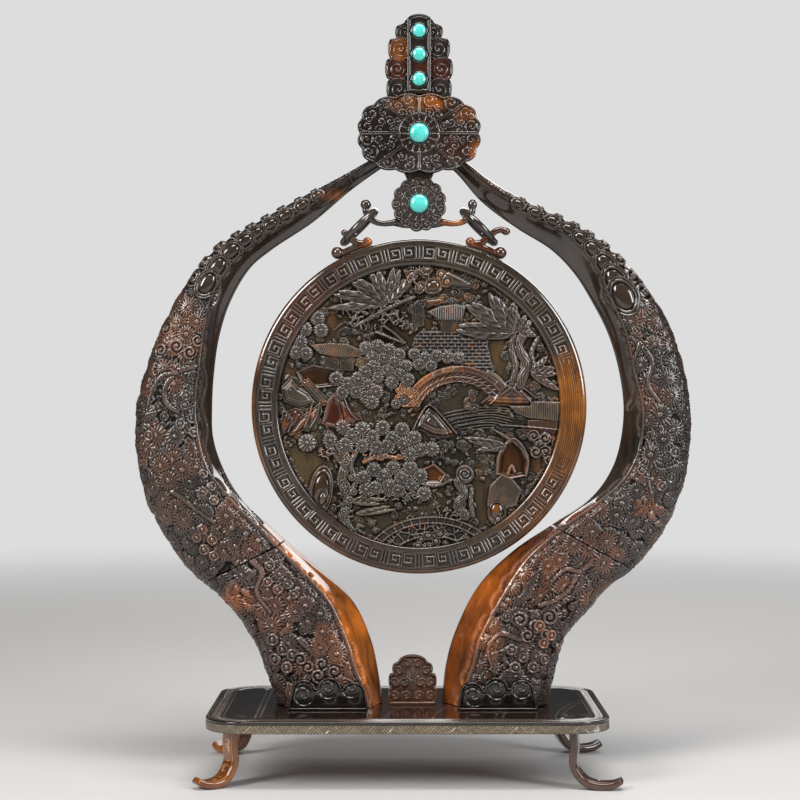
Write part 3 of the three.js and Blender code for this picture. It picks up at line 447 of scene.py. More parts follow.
def hornTintShadeSheenGroup():  # colour patches, painted shade in the hollows, and crests lightened by painted sheen and rubbed wear, from a piece's marks
    group, given, out = newGroup("hornTintShadeSheen", [("Color", "Color"), ("Mask", "Float"), ("Amber", "Color"), ("HollowShadeColor", "Color"),
                                              ("CrestSheen", "Color"), ("HollowShade", "Float"), ("RubSheen", "Float")],
                                 [("Color", "Color"), ("Roughness", "Float"), ("Shine", "Float")])
    mark = {name: add(group, "Attribute", attribute_name=name).outputs["Fac"] for name in markNames}
    lighter = maths(group, "ADD", maths(group, "MULTIPLY", given.outputs["Mask"], 1.0), 0.3)
    figured = maths(group, "ADD", maths(group, "MULTIPLY", given.outputs["Mask"], 1.3), 0.1)
    amber = add(group, "VectorMath", {0: given.outputs["Amber"], 3: lighter}, operation="SCALE").outputs[0]
    red = add(group, "VectorMath", {0: (0.085, 0.017, 0.007), 3: lighter}, operation="SCALE").outputs[0]
    olive = add(group, "VectorMath", {0: (0.085, 0.062, 0.026), 3: lighter}, operation="SCALE").outputs[0]
    grey = add(group, "VectorMath", {0: (0.045, 0.036, 0.034), 3: lighter}, operation="SCALE").outputs[0]
    colour = given.outputs["Color"]
    for name, paint in (("grey", grey), ("olive", olive), ("red", red), ("amber", amber)):
        weight = add(group, "Math", {0: mark[name], 1: figured}, operation="MULTIPLY", use_clamp=True).outputs[0]
        colour = mixColour(group, weight, colour, paint)
    # painted shade: the groove mark darkens the hollows towards the hollow colour
    hollowShade = maths(group, "MULTIPLY", mark["groove"], given.outputs["HollowShade"])
    hollow = mixColour(group, 1.0, colour, given.outputs["HollowShadeColor"], "MULTIPLY")
    colour = mixColour(group, hollowShade, colour, hollow)
    # crest-marked points are lightened: on carved reliefs this is painted sheen with some rubbed wear, on engraved
    # pieces it makes pale lines
    rubSheen = maths(group, "MULTIPLY", mark["crest"], given.outputs["RubSheen"])
    own = add(group, "VectorMath", {0: colour, 3: 1.8}, operation="SCALE").outputs[0]
    rubbedSheen = add(group, "VectorMath", {0: own, 1: given.outputs["CrestSheen"]}, operation="ADD").outputs[0]
    colour = mixColour(group, rubSheen, colour, rubbedSheen)
    plain = maths(group, "SUBTRACT", 1.0, mark["polish"])
    rough = maths(group, "ADD", maths(group, "MULTIPLY", plain, 0.12), 0.11)
    rough = maths(group, "ADD", rough, maths(group, "MULTIPLY", mark["groove"], 0.15))
    shine = maths(group, "SUBTRACT", 1.0, maths(group, "MULTIPLY", mark["groove"], 0.85))
    group.links.new(shine, out.inputs["Shine"])
    group.links.new(colour, out.inputs["Color"])
    group.links.new(rough, out.inputs["Roughness"])
    return group


def fineToolGroup():  # fine scratches and pores left by the tools
    group, given, out = newGroup("fineTool", [("Scale", "Float")], [("Height", "Float")])
    place_ = add(group, "TexCoord").outputs["Object"]
    pores = add(group, "TexNoise", {"Vector": place_, "Scale": given.outputs["Scale"], "Detail": 4.0, "Roughness": 0.7})
    turned = add(group, "Mapping", {"Vector": place_, "Scale": (1.0, 1.0, 6.0), "Rotation": (0.3, 0.7, 0.2)})
    scratch = add(group, "TexNoise", {"Vector": turned.outputs[0], "Scale": 700.0, "Detail": 2.0})
    group.links.new(maths(group, "ADD", pores.outputs[0], maths(group, "MULTIPLY", scratch.outputs[0], 0.5)), out.inputs["Height"])
    return group


hornFigure, hornTintShadeSheen, fineTool = hornFigureGroup(), hornTintShadeSheenGroup(), fineToolGroup()


def newMaterial(name):
    material = bpy.data.materials.new(name)
    material.use_nodes = True
    tree = material.node_tree
    tree.nodes.clear()
    return material, tree, add(tree, "OutputMaterial")


# The hollow colour and its strength set the painted shade in the grooves; the crest colour and its strength lighten
# crest-marked points: painted sheen with some rubbed wear on carved reliefs, pale lines on engraved pieces.
def hornMaterial(name, dark, light, amber=(0.36, 0.1, 0.01), hollow=(0.1, 0.08, 0.06), crest=(0.06, 0.05, 0.045),
                 scale=22.0, contrast=2.6, hollowShade=0.9, rubSheen=0.6, bump=0.05, coat=0.5):
    material, tree, out = newMaterial(name)
    figure = add(tree, "Group", node_tree=hornFigure)
    tintShadeSheenNode = add(tree, "Group", node_tree=hornTintShadeSheen)
    tool = add(tree, "Group", node_tree=fineTool)
    for socket, value in (("Dark", (*dark, 1)), ("Light", (*light, 1)), ("Scale", scale), ("Contrast", contrast)):
        figure.inputs[socket].default_value = value
    for socket, value in (("Amber", (*amber, 1)), ("HollowShadeColor", (*hollow, 1)), ("CrestSheen", (*crest, 1)), ("HollowShade", hollowShade), ("RubSheen", rubSheen)):
        tintShadeSheenNode.inputs[socket].default_value = value
    tool.inputs["Scale"].default_value = 900.0
    tree.links.new(figure.outputs["Color"], tintShadeSheenNode.inputs["Color"])
    tree.links.new(figure.outputs["Mask"], tintShadeSheenNode.inputs["Mask"])
    lift = add(tree, "Bump", {"Height": tool.outputs[0], "Strength": bump, "Distance": 0.0004})
    shine = tintShadeSheenNode.outputs["Shine"]
    shader = add(tree, "BsdfPrincipled", {"Base Color": tintShadeSheenNode.outputs["Color"], "Roughness": tintShadeSheenNode.outputs["Roughness"],
                                          "Normal": lift.outputs[0], "IOR": 1.54, "Coat Roughness": 0.07,
                                          "Specular IOR Level": maths(tree, "MULTIPLY", shine, 0.5),
                                          "Coat Weight": maths(tree, "MULTIPLY", shine, coat)})
    tree.links.new(shader.outputs[0], out.inputs[0])
    return material


hornCarved = hornMaterial("hornCarved", (0.006, 0.005, 0.005), (0.045, 0.03, 0.021))
hornDark = hornMaterial("hornDark", (0.004, 0.0035, 0.0035), (0.022, 0.014, 0.01), rubSheen=0.35)
hornOlive = hornMaterial("hornOlive", (0.008, 0.006, 0.005), (0.05, 0.035, 0.021), amber=(0.24, 0.08, 0.01))
hornBrown = hornMaterial("hornBrown", (0.02, 0.008, 0.005), (0.1, 0.038, 0.018), rubSheen=0.4)
hornAmber = hornMaterial("hornAmber", (0.07, 0.014, 0.003), (0.34, 0.11, 0.014), rubSheen=0.9, crest=(0.4, 0.27, 0.13))
hornIvory = hornMaterial("hornIvory", (0.01, 0.008, 0.008), (0.06, 0.043, 0.037), rubSheen=0.6)
hornLined = hornMaterial("hornLined", (0.004, 0.0035, 0.0035), (0.022, 0.014, 0.01), rubSheen=0.9, crest=(0.2, 0.155, 0.13), hollowShade=0.5)
hornBand = hornMaterial("hornBand", (0.012, 0.009, 0.007), (0.06, 0.046, 0.03), rubSheen=0.9, crest=(0.17, 0.14, 0.1), hollowShade=0.9)


def turquoiseMaterial():
    material, tree, out = newMaterial("turquoise")
    place_ = add(tree, "TexCoord").outputs["Object"]
    cloud = add(tree, "TexNoise", {"Vector": place_, "Scale": 260.0, "Detail": 4.0})
    base = mixColour(tree, cloud.outputs[0], (0.03, 0.34, 0.3, 1), (0.1, 0.6, 0.54, 1))
    vein = add(tree, "TexVoronoi", {"Vector": place_, "Scale": 210.0, "Randomness": 1.0}, feature="DISTANCE_TO_EDGE")
    patch = add(tree, "TexNoise", {"Vector": place_, "Scale": 320.0, "Detail": 2.0})
    line = add(tree, "MapRange", {0: vein.outputs[0], 1: 0.0, 2: 0.05, 3: 1.0, 4: 0.0}).outputs[0]
    some = add(tree, "MapRange", {0: patch.outputs[0], 1: 0.52, 2: 0.62, 3: 0.0, 4: 0.55}).outputs[0]
    colour = mixColour(tree, maths(tree, "MULTIPLY", line, some), base, (0.02, 0.13, 0.1, 1))
    lift = add(tree, "Bump", {"Height": cloud.outputs[0], "Strength": 0.05, "Distance": 0.0003})
    shader = add(tree, "BsdfPrincipled", {"Base Color": colour, "Roughness": 0.22, "Normal": lift.outputs[0],
                                          "IOR": 1.6, "Coat Weight": 0.3, "Coat Roughness": 0.08})
    tree.links.new(shader.outputs[0], out.inputs[0])
    return material


def woodMaterial():
    material, tree, out = newMaterial("wood")
    place_ = add(tree, "TexCoord").outputs["Object"]
    grain = add(tree, "Mapping", {"Vector": place_, "Scale": (0.35, 4.0, 4.0)})
    rings = add(tree, "TexNoise", {"Vector": grain.outputs[0], "Scale": 130.0, "Detail": 5.0, "Roughness": 0.6})
    colour = mixColour(tree, rings.outputs[0], (0.07, 0.032, 0.015, 1), (0.24, 0.125, 0.06, 1))
    lift = add(tree, "Bump", {"Height": rings.outputs[0], "Strength": 0.25, "Distance": 0.0004})
    shader = add(tree, "BsdfPrincipled", {"Base Color": colour, "Roughness": 0.55, "Normal": lift.outputs[0]})
    tree.links.new(shader.outputs[0], out.inputs[0])
    return material


turquoise, wood = turquoiseMaterial(), woodMaterial()
print("materials ready")


# Arms: whole horns, carved in front and on the outside, with a smooth strip along the inner edge

armForm = {
    "left": {
        "splice": 4.6, "rowsLower": 250, "rowsUpper": 560, "seed": 11,
        "rows": [
            [-88.6, 0, -22.3, 0, 0.11, 24.5], [-94.8, 18.8, -24.8, 16.9, 0.14, 24.5],
            [-102.9, 38.6, -29.7, 38.6, 0.17, 24], [-113.4, 54.1, -41.5, 63.4, 0.15, 23],
            [-123.6, 65.2, -67.5, 87, 0.08, 22], [-141.9, 80.8, -92.3, 108.7, 0.05, 21.5],
            [-158.7, 103.7, -111, 127.3, 0.05, 21], [-170.5, 128.5, -122.1, 146.5, 0.12, 20.5],
            [-175.9, 156.4, -127.7, 164.5, 0.13, 20], [-175.9, 181.2, -128.3, 184.3, 0.17, 19],
            [-169.8, 207.2, -127.1, 204.8, 0.17, 18], [-159.3, 233.9, -124, 226.5, 0.22, 16.5],
            [-145.7, 258.1, -117.2, 248.2, 0.33, 15], [-127.7, 282.3, -104.8, 269.2, 0.35, 13],
            [-103.5, 297.8, -91.7, 280.4, 0.4, 11], [-75, 313.3, -65.7, 297.8, 0.45, 9],
            [-49, 326.3, -42.1, 317.6, 0.5, 7], [-29.1, 337.4, -24.8, 330, 0.5, 5.5],
            [-17.5, 345.2, -13, 337.7, 0.5, 5.2]]},
    "right": {
        "splice": 4.9, "rowsLower": 250, "rowsUpper": 560, "seed": 23,
        "rows": [
            [80.6, 0, 14.3, 0, 0.16, 24.5], [85, 18.8, 16.1, 20, 0.19, 24.5],
            [91.2, 40.5, 21.7, 41.7, 0.2, 24], [101.7, 52.9, 36.6, 71.5, 0.2, 23],
            [116.6, 69.6, 57.7, 93.2, 0.12, 22], [134.6, 83.9, 85, 111.8, 0.05, 21.5],
            [151.9, 106.2, 107.3, 127.3, 0.05, 21], [163.1, 131.6, 118.4, 142.1, 0.15, 20.5],
            [168.1, 156.4, 124, 156.4, 0.21, 20], [168.7, 181.2, 127.1, 181.2, 0.22, 19],
            [164.9, 206, 124, 206, 0.17, 18], [155.7, 233.9, 117.2, 228.9, 0.22, 16.5],
            [142, 256.2, 107.9, 247.5, 0.26, 15], [122.2, 280.4, 96.8, 265.5, 0.4, 13],
            [99.8, 296.5, 82.5, 280.4, 0.5, 11], [72, 309.5, 60.8, 294, 0.5, 9],
            [48.4, 321.3, 39.1, 310.2, 0.5, 7], [28.5, 335.6, 22.4, 328.8, 0.5, 5.5],
            [17, 343.7, 11.5, 336.9, 0.5, 5.2]]},
    # The section: shares of the carved width, of the strip and of the whole, then half depths, then columns
    "outline": [
        [0, 0, 0, 0, 18], [0.05, 0, 0, -0.5, 19], [0.2, 0, 0, -0.86, 27], [0.52, 0, 0, -1, 27], [0.85, 0, 0, -0.96, 15],
        [1, 0, 0, -0.8, 9], [1, 0.5, 0, -0.3, 8], [0, 0, 1, 0.05, 6], [0, 0, 0.93, 0.5, 7], [0, 0, 0.76, 0.85, 9],
        [0, 0, 0.5, 1, 12], [0, 0, 0.2, 0.86, 10], [0, 0, 0.05, 0.5, 11]],
    "ridge": 5, "seat": 0.3, "ground": -2.6, "lastCloud": 11.9, "cloudPitch": 11.0}


def armWeights():  # how each column of the section depends on the outline's corners
    outline, corner = armForm["outline"], armForm["ridge"]
    count = len(outline)
    rows, turns = [], []
    for k, (*_, steps) in enumerate(outline):
        for t in np.arange(steps) / steps:
            w = [-.5 * t + t * t - .5 * t ** 3, 1 - 2.5 * t * t + 1.5 * t ** 3, .5 * t + 2 * t * t - 1.5 * t ** 3, -.5 * t * t + .5 * t ** 3]
            row = np.zeros(count)
            if k == corner:
                w[1], w[2], w[0] = w[1] + 2 * w[0], w[2] - w[0], 0
            if k == corner - 1:
                w[2], w[1], w[3] = w[2] + 2 * w[3], w[1] - w[3], 0
            for i, value in enumerate(w):
                row[(k - 1 + i) % count] += value
            rows.append(row)
            turns.append(k + t)
    rows.append(rows[0])
    turns.append(float(count))
    return np.array(rows), np.array(turns)


sectionWeights, sectionTurns = armWeights()


def armPoints(side, row):  # row is an array of rows x columns
    drawing = np.array(armForm[side]["rows"], float)
    last = len(drawing) - 1
    zero = np.zeros((len(drawing), 1))
    outer = splineAt(np.hstack([drawing[:, 0:1], zero, drawing[:, 1:2]]), row / last)
    inner = splineAt(np.hstack([drawing[:, 2:3], zero, drawing[:, 3:4]]), row / last)
    form = splineAt(np.hstack([drawing[:, 4:6], zero]), row / last)
    outline = np.array(armForm["outline"])
    strip = form[..., 0]
    share = (sectionWeights @ outline[:, 0]) * (1 - strip)
    stripPart = sectionWeights @ (outline[:, 1] + (outline[:, 0] == 1) * 0)
    share = share + stripPart * strip + sectionWeights @ outline[:, 2]
    points = outer + (inner - outer) * share[..., None]
    points[..., 1] = (sectionWeights @ outline[:, 3]) * form[..., 1]
    points[..., 0] += hangLine
    points[..., 2] += platformTop + armForm["seat"]
    return points


def blockEnd(side, start):  # the row where each column meets the crown block
    rows = np.linspace(start, 18.0, 90)[:, None] * np.ones((1, len(sectionTurns)))
    points = armPoints(side, rows)
    x, z = np.abs(points[..., 0] - hangLine) / 27.3, np.abs(points[..., 2] - 392.75) / 21.3
    inside = (x ** 3 + z ** 3) < 1
    first = np.where(inside.any(axis=0), inside.argmax(axis=0), len(rows) - 1)
    return rows[first, 0]


def armRelief(side, upper):
    form = armForm[side]
    gap = 0.012
    count = form["rowsUpper"] if upper else form["rowsLower"]
    start, end = (form["splice"] + gap, 17.6) if upper else (0.0, form["splice"] - gap)
    fine = np.linspace(start, end, 400)
    drawing = np.array(form["rows"], float)
    middle = splineAt(np.hstack([drawing[:, 0:1] * 0.7 + drawing[:, 2:3] * 0.3, drawing[:, 1:2] * 0.7 + drawing[:, 3:4] * 0.3]), fine / 18)
    length = np.concatenate([[0], np.cumsum(np.linalg.norm(np.diff(middle, axis=0), axis=1))])
    row = np.interp(np.linspace(0, length[-1], count), length, fine)
    rows = row[:, None] * np.ones((1, len(sectionTurns)))
    if upper:
        share = ((row - start) / (end - start))[:, None]
        rows = start + share * (blockEnd(side, 16.4)[None, :] - start)
    points = armPoints(side, rows)
    relief = newRelief(points, surfaceNormals(points[:, :-1], True)[:, list(range(points.shape[1] - 1)) + [0]])
    relief.row = rows.ravel()
    relief.turn = (np.ones((count, 1)) * sectionTurns[None, :]).ravel()
    return relief, points


def armZone(relief):  # 1 where the arm is carved, 0 on its smooth strip and inner back
    t = relief.turn
    return np.maximum(smooth(4.98, 4.9, t), smooth(9.2, 9.5, t))


def armSpot(relief, row, turn):
    return int(np.argmin(((relief.row - row) * 8) ** 2 + (relief.turn - turn) ** 2))


armMotifs = {
    "left": [
        # kind, places in the front view, size in mm, and how it is marked
        ("disc", [(188, 308), (176, 322), (197, 322), (186, 334), (167, 338), (175, 300)], 6.6, {"amber": 0.45}),
        ("scroll", [(160, 350), (176, 346), (190, 352), (165, 328), (198, 340)], 4.2, {"grey": 0.3}),
        ("pearl", [(185, 405), (192, 418), (180, 424), (194, 432), (186, 396)], 3.4, {"grey": 0.5}),
        ("pearl", [(142, 444), (150, 454), (143, 464), (152, 474), (148, 436)], 3.2, {"grey": 0.3}),
        ("disc", [(172, 460), (160, 466), (182, 470), (168, 480)], 6.8, {"amber": 0.35, "grey": 0.3}),
        ("disc", [(162, 500), (176, 508), (164, 516), (184, 520), (152, 488)], 6.2, {"amber": 0.3}),
        ("pearl", [(204, 474), (212, 486), (203, 492), (214, 500), (206, 464)], 3.2, {"amber": 0.2}),
        ("pearl", [(202, 530), (212, 540), (204, 550), (214, 556), (196, 538)], 3.4, {"amber": 0.6}),
        ("disc", [(232, 528), (246, 534), (236, 546), (250, 550), (258, 540), (226, 516)], 6.4, {"grey": 0.4}),
        ("leaf", [(238, 572), (246, 580), (230, 582), (240, 590), (226, 592)], 5.0, {"grey": 0.2}),
        ("pearl", [(270, 566), (280, 574), (288, 584), (278, 590), (294, 594), (268, 582)], 3.3, {"grey": 0.3}),
        ("disc", [(306, 606), (320, 614), (308, 622), (296, 612), (322, 628)], 6.4, {"grey": 0.2}),
        ("disc", [(322, 632), (332, 642), (320, 648), (336, 654)], 6.0, {"amber": 0.5}),
        ("pearl", [(272, 640), (282, 650), (274, 660), (286, 668), (292, 656), (268, 672)], 4.0, {"grey": 0.2}),
        ("scroll", [(308, 668), (322, 664), (334, 672), (318, 676), (300, 660)], 4.4, {"grey": 0.2})],
    "right": [
        ("disc", [(624, 303), (642, 305), (630, 322), (658, 321), (650, 292), (610, 296)], 7.2, {"grey": 0.5}),
        ("disc", [(672, 345), (676, 362), (668, 378), (672, 395), (660, 415), (646, 421), (650, 455), (664, 440)], 7.0, {"grey": 0.4}),
        ("pearl", [(628, 434), (638, 446), (632, 458), (642, 470), (676, 452), (684, 466), (672, 478), (662, 486)], 3.5, {"grey": 0.5}),
        ("disc", [(600, 510), (577, 525), (592, 532), (606, 542), (590, 548), (618, 556), (604, 564), (574, 544)], 6.6, {"amber": 0.3}),
        ("disc", [(520, 548), (508, 560), (522, 570), (536, 556), (510, 584), (498, 596), (548, 566)], 6.4, {"amber": 0.5}),
        ("scroll", [(520, 620), (536, 626), (550, 618), (528, 636), (546, 634)], 4.6, {"grey": 0.2}),
        ("pearl", [(512, 650), (524, 658), (534, 668), (546, 660), (516, 668), (552, 672)], 3.8, {"grey": 0.3}),
        ("pearl", [(540, 626), (552, 636), (560, 648), (544, 644)], 3.6, {"amber": 0.5}),
        ("leaf", [(640, 500), (650, 512), (634, 516), (656, 524)], 5.0, {"amber": 0.4})]}


armBranches = {
    "left": [([(196, 366), (176, 372), (164, 388), (166, 404), (178, 412)], 2.6), ([(176, 372), (160, 376), (150, 392), (146, 412)], 2.2),
             ([(200, 360), (204, 384), (200, 404), (206, 430), (202, 456)], 2.4), ([(150, 478), (176, 494), (196, 510), (214, 522)], 2.4),
             ([(250, 556), (262, 572), (256, 592), (270, 612)], 2.6), ([(300, 640), (312, 652), (326, 660), (342, 666)], 2.4),
             ([(222, 470), (232, 490), (246, 502), (262, 522)], 2.2)],
    "right": [([(622, 332), (640, 344), (652, 362), (648, 384), (660, 402)], 2.6), ([(640, 344), (632, 366), (636, 388), (628, 408)], 2.2),
              ([(596, 560), (580, 572), (570, 588), (556, 600), (540, 606)], 2.8), ([(580, 572), (566, 570), (552, 582)], 2.0),
              ([(660, 410), (652, 430), (658, 452), (648, 474), (652, 494)], 2.4), ([(520, 640), (500, 634), (488, 648), (492, 668)], 2.2)]}


def carveArm(side, upper):
    form = armForm[side]
    relief, points = armRelief(side, upper)
    dice = np.random.default_rng(form["seed"] + upper)
    zone = armZone(relief)
    ground = armForm["ground"] * smooth(17.4, 14.0, relief.row) - 0.9 * smooth(13.0, 16.0, relief.row)
    rope = np.sin(relief.points[:, 0] * 2.1 + np.sin(relief.points[:, 2] * 1.3)) * np.sin(relief.points[:, 2] * 1.9)
    relief.height = zone * (ground + 0.25 * rope)
    motifs = {"disc": pineDisc, "pearl": ringedPearl, "scroll": scroll, "leaf": leaf}
    scaly = (zone > 0.9) & (relief.row < 12.3)

    for k in scatter(relief, scaly, 4.2, dice, 6000):  # small things that fill the ground
        kind = dice.choice(["pearl", "scroll", "leaf"], p=[0.5, 0.3, 0.2])
        stamp(relief, k, dice.uniform(2.6, 3.6), motifs[kind], turn=dice.uniform(0, 360), level=dice.uniform(-1.5, -0.9),
              marks={"grey": dice.uniform(0.1, 0.5), "amber": dice.choice([0.0, 0.0, 0.25])})
    for k in scatter(relief, scaly, 12.5, dice, 3000):  # clusters of pine
        heart = relief.points[k]
        tone = {"grey": dice.uniform(0.2, 0.6), "amber": dice.choice([0.0, 0.0, 0.35])}
        close = np.nonzero(scaly & (np.sum((relief.points - heart) ** 2, axis=1) < 110))[0]
        for spot in sorted(dice.choice(close, min(4, len(close)), replace=False), key=lambda s: relief.points[s][2]):
            stamp(relief, int(spot), dice.uniform(5.0, 6.8), pineDisc, turn=dice.uniform(0, 360), level=dice.uniform(-0.8, -0.1),
                  spokes=int(dice.integers(14, 19)), marks=tone)
    for path, width in armBranches[side]:
        if all(relief.px.min() < x < relief.px.max() and relief.py.min() < y < relief.py.max() for x, y in path[:1]):
            branch(relief, path, width, marks={"grey": 0.35, "amber": 0.1})
    for kind, places, size, marks in armMotifs[side]:
        for px, py in places:
            spot = frontVertex(relief, px, py)
            if abs(relief.px[spot] - px) > 4 or abs(relief.py[spot] - py) > 4 or zone[spot] < 0.5:
                continue
            stamp(relief, spot, size * dice.uniform(0.92, 1.08), motifs[kind], turn=dice.uniform(0, 360),
                  level=dice.uniform(-0.35, 0.0), marks=marks)
    if upper:  # polished cloud heads, one over the next, with small curls outside them
        row = 17.1
        while row > armForm["lastCloud"]:
            spot = armSpot(relief, row, 3.45)
            edge, back = relief.points[armSpot(relief, row, 0.2)], relief.points[armSpot(relief, row + 0.4, 3.45)]
            ahead = back - relief.points[spot]
            wide = np.linalg.norm(relief.points[armSpot(relief, row, 4.9)] - edge)
            angle = math.degrees(math.atan2(ahead[2], ahead[0]))
            for turn, size, kind in ((11.6, 0.3, lobe), (12.7, 0.2, lobe), (0.7, 0.2, lobe), (1.7, 0.26, scroll), (3.5, 0.47, boss)):
                marks = {"polish": 1.0, "grey": 0.0, "amber": 0.0, "red": 0.0}
                stamp(relief, armSpot(relief, row, turn), max(2.2, size * wide), kind, turn=angle, level=-0.1 if turn == 3.5 else -0.4, marks=marks)
            row -= armForm["cloudPitch"] / np.linalg.norm(ahead) * 0.4
    lip = smooth(4.55, 4.9, relief.turn) * smooth(5.05, 4.97, relief.turn)
    relief.height = np.where(relief.turn < 5.2, relief.height * (1 - lip), relief.height)
    carved = np.clip(zone, 0, 1)
    relief.height *= smooth(17.9, 17.0, relief.row) * 0.6 + 0.4
    slim = smooth(17.0, 12.0, relief.row) * 0.7 + 0.3
    relief.height *= slim
    readShadeAndSheen(relief, 2.4, True)
    relief.marks["polish"] = np.maximum(relief.marks["polish"], 1 - carved)
    # the smooth strip keeps only a quarter of the painted shade in its hollows
    relief.marks["groove"] *= 0.25 + 0.75 * carved
    return relief, points


def paintArm(side, relief):
    zone = armZone(relief)
    relief.marks["amber"] *= 0.5
    strip = 1 - zone
    low = smooth(6.0, 3.6, relief.row)
    if side == "left":
        relief.marks["amber"] = np.maximum(relief.marks["amber"], strip * smooth(5.4, 4.3, relief.row))
        tint(relief, 234, 600, (22, 18), 0.8, amber=0.8)
        tint(relief, 335, 195, (24, 8), 0.7, amber=0.7)
    else:
        relief.marks["red"] = np.maximum(relief.marks["red"], strip * smooth(6.2, 5.0, relief.row))
        relief.marks["amber"] = np.maximum(relief.marks["amber"], 0.5 * strip * smooth(5.4, 3.0, relief.row))
        tint(relief, 500, 560, (70, 34), 0.55, amber=0.45)
        tint(relief, 488, 640, (18, 40), 0.7, amber=0.7)
        tint(relief, 500, 184, (26, 12), 0.5, red=0.6)
        tint(relief, 650, 510, (22, 12), 0.5, amber=0.5)
    relief.marks["red"] = np.clip(relief.marks["red"] + 0.25 * low * zone, 0, 1)


def buildArm(side, upper):
    name = f"{side}_arm_{'upper' if upper else 'lower'}"
    relief, points = carveArm(side, upper)
    paintArm(side, relief)
    shaped = points + (relief.normals * relief.height[:, None]).reshape(points.shape)
    mesh = gridMesh(name + "_carved", shaped, relief.marks)
    closeTube(mesh, points.shape[1])
    return place(name + "_carved", mesh, hornCarved, "frame", "horn_carved", name)


for armSide in ("left", "right"):
    for isUpper in (False, True):
        buildArm(armSide, isUpper)
print("arms carved")


# Disc: a round landscape in high relief, in a fretted rim

panelForm = {"middle": (4.0, 225.1), "radius": 87.0, "front": -6.0, "back": -1.5, "cells": 440, "ground": -3.3, "seed": 5, "small": 1500,
             "open": (((305, 470), (22, 28)), ((486, 498), (11, 18)), ((462, 419), (52, 10)), ((330, 322), (10, 8)), ((432, 545), (40, 20)))}


def roundGrid(count, radius):  # a square grid laid evenly on a disc
    line = np.linspace(-1, 1, count + 1)
    a, b = np.meshgrid(line, line)
    wide = np.abs(a) >= np.abs(b)
    r = np.where(wide, a, b)
    other = np.where(wide, b, a)
    angle = np.where(wide, 0, np.pi / 2) + np.where(wide, 1, -1) * np.pi / 4 * other / np.where(r == 0, 1, r)
    return radius * r * np.cos(angle), radius * r * np.sin(angle)


def region(relief, corners, form, soft=0.6, marks=None):  # carves inside a polygon of front-view places
    xs, ys = [c[0] for c in corners], [c[1] for c in corners]
    pick = np.nonzero((relief.px > min(xs) - 2) & (relief.px < max(xs) + 2) & (relief.py > min(ys) - 2) & (relief.py < max(ys) + 2))[0]
    if not len(pick):
        return
    x, y = relief.px[pick], relief.py[pick]
    inner = polygonDepth(x, y, list(corners))
    layOn(relief, pick, form(x, y, np.maximum(inner, 0)), smooth(-soft, 0.1, inner), marks or {})


def stroke(relief, places, width, level=-0.5, lines=0.0, deep=0.3, drop=0.8, marks=None, taper=0.0):
    curve = splineAt(places, np.linspace(0, 1, 4 * len(places)))
    low, high = curve.min(axis=0) - width * 1.4, curve.max(axis=0) + width * 1.4
    pick = np.nonzero((relief.px > low[0]) & (relief.px < high[0]) & (relief.py > low[1]) & (relief.py < high[1]))[0]
    if not len(pick):
        return
    near, share, side = pathNear(curve, relief.px[pick], relief.py[pick])
    across = near / (width * (1 - taper * share))
    height = level - drop * across ** 2
    if lines:
        height = height - deep * (0.5 + 0.5 * np.cos(2 * np.pi * (across * side * lines + 0.5 * np.sin(share * 20))))
    layOn(relief, pick, height, 1 - smooth(0.85, 1.1, across), marks or {})


def blade(relief, foot, tip, width, level=-0.6, veins=6.0, deep=0.4, bow=0.0, marks=None):
    unitSize = 0.617
    size = width * unitSize / 0.44
    length = math.hypot(tip[0] - foot[0], tip[1] - foot[1]) * unitSize
    turn = math.degrees(math.atan2(foot[1] - tip[1], tip[0] - foot[0]))
    stamp(relief, frontVertex(relief, *foot), size, leaf, turn=turn, level=level, marks=marks,
          long=length / size, veins=veins * size / max(length, 1), deep=deep, bow=bow)


def bricks(level, long=7.0, tall=3.5, sunk=0.5):
    def form(x, y, inner):
        row = np.floor(y / tall)
        u = np.mod(x / long + 0.5 * np.mod(row, 2), 1) * long
        v = np.mod(y, tall)
        edge = np.minimum(np.minimum(u, long - u), np.minimum(v, tall - v))
        return level - sunk * smooth(0.35, 0.75, edge)
    return form


def ribs(level, pitch=2.3, deep=0.55, lean=0.0, bow=0.0):
    def form(x, y, inner):
        return level - deep * (1 - np.abs(np.sin(np.pi * (x + lean * y + bow * y * y) / pitch))) - 0.3 * ridge(inner, 0.8)
    return form


def lattice(level, pitch=2.4, deep=0.5):
    def form(x, y, inner):
        a = np.abs(np.sin(np.pi * (x + y) / pitch))
        b = np.abs(np.sin(np.pi * (x - y) / pitch))
        return level - deep * smooth(0.25, 0.6, np.minimum(a, b))
    return form


def terraces(level, rise=1.2, pitch=2.6, deep=0.3, run=7.0):
    def form(x, y, inner):
        return level + rise * smooth(0, run, inner) - deep * (0.5 - 0.5 * np.cos(2 * np.pi * inner / pitch))
    return form


def hollow(level, deep=1.6, run=4.0):
    def form(x, y, inner):
        return level - deep * smooth(0, run, inner)
    return form


def twigs(relief, px, py, spread, count, dice, level=-0.9, marks=None):  # short curled ends of wood
    for _ in range(count):
        x, y = px + dice.uniform(-1, 1) * spread[0], py + dice.uniform(-1, 1) * spread[1]
        turn, bend, long = dice.uniform(0, 2 * np.pi), dice.uniform(-0.9, 0.9), dice.uniform(3.5, 7.5)
        path = [(x, y)]
        for k in range(3):
            path.append((path[-1][0] + long / 3 * math.cos(turn + bend * k), path[-1][1] + long / 3 * math.sin(turn + bend * k)))
        stroke(relief, path, dice.uniform(0.8, 1.25), level=level + dice.uniform(-0.3, 0.3), drop=0.7, marks=marks)


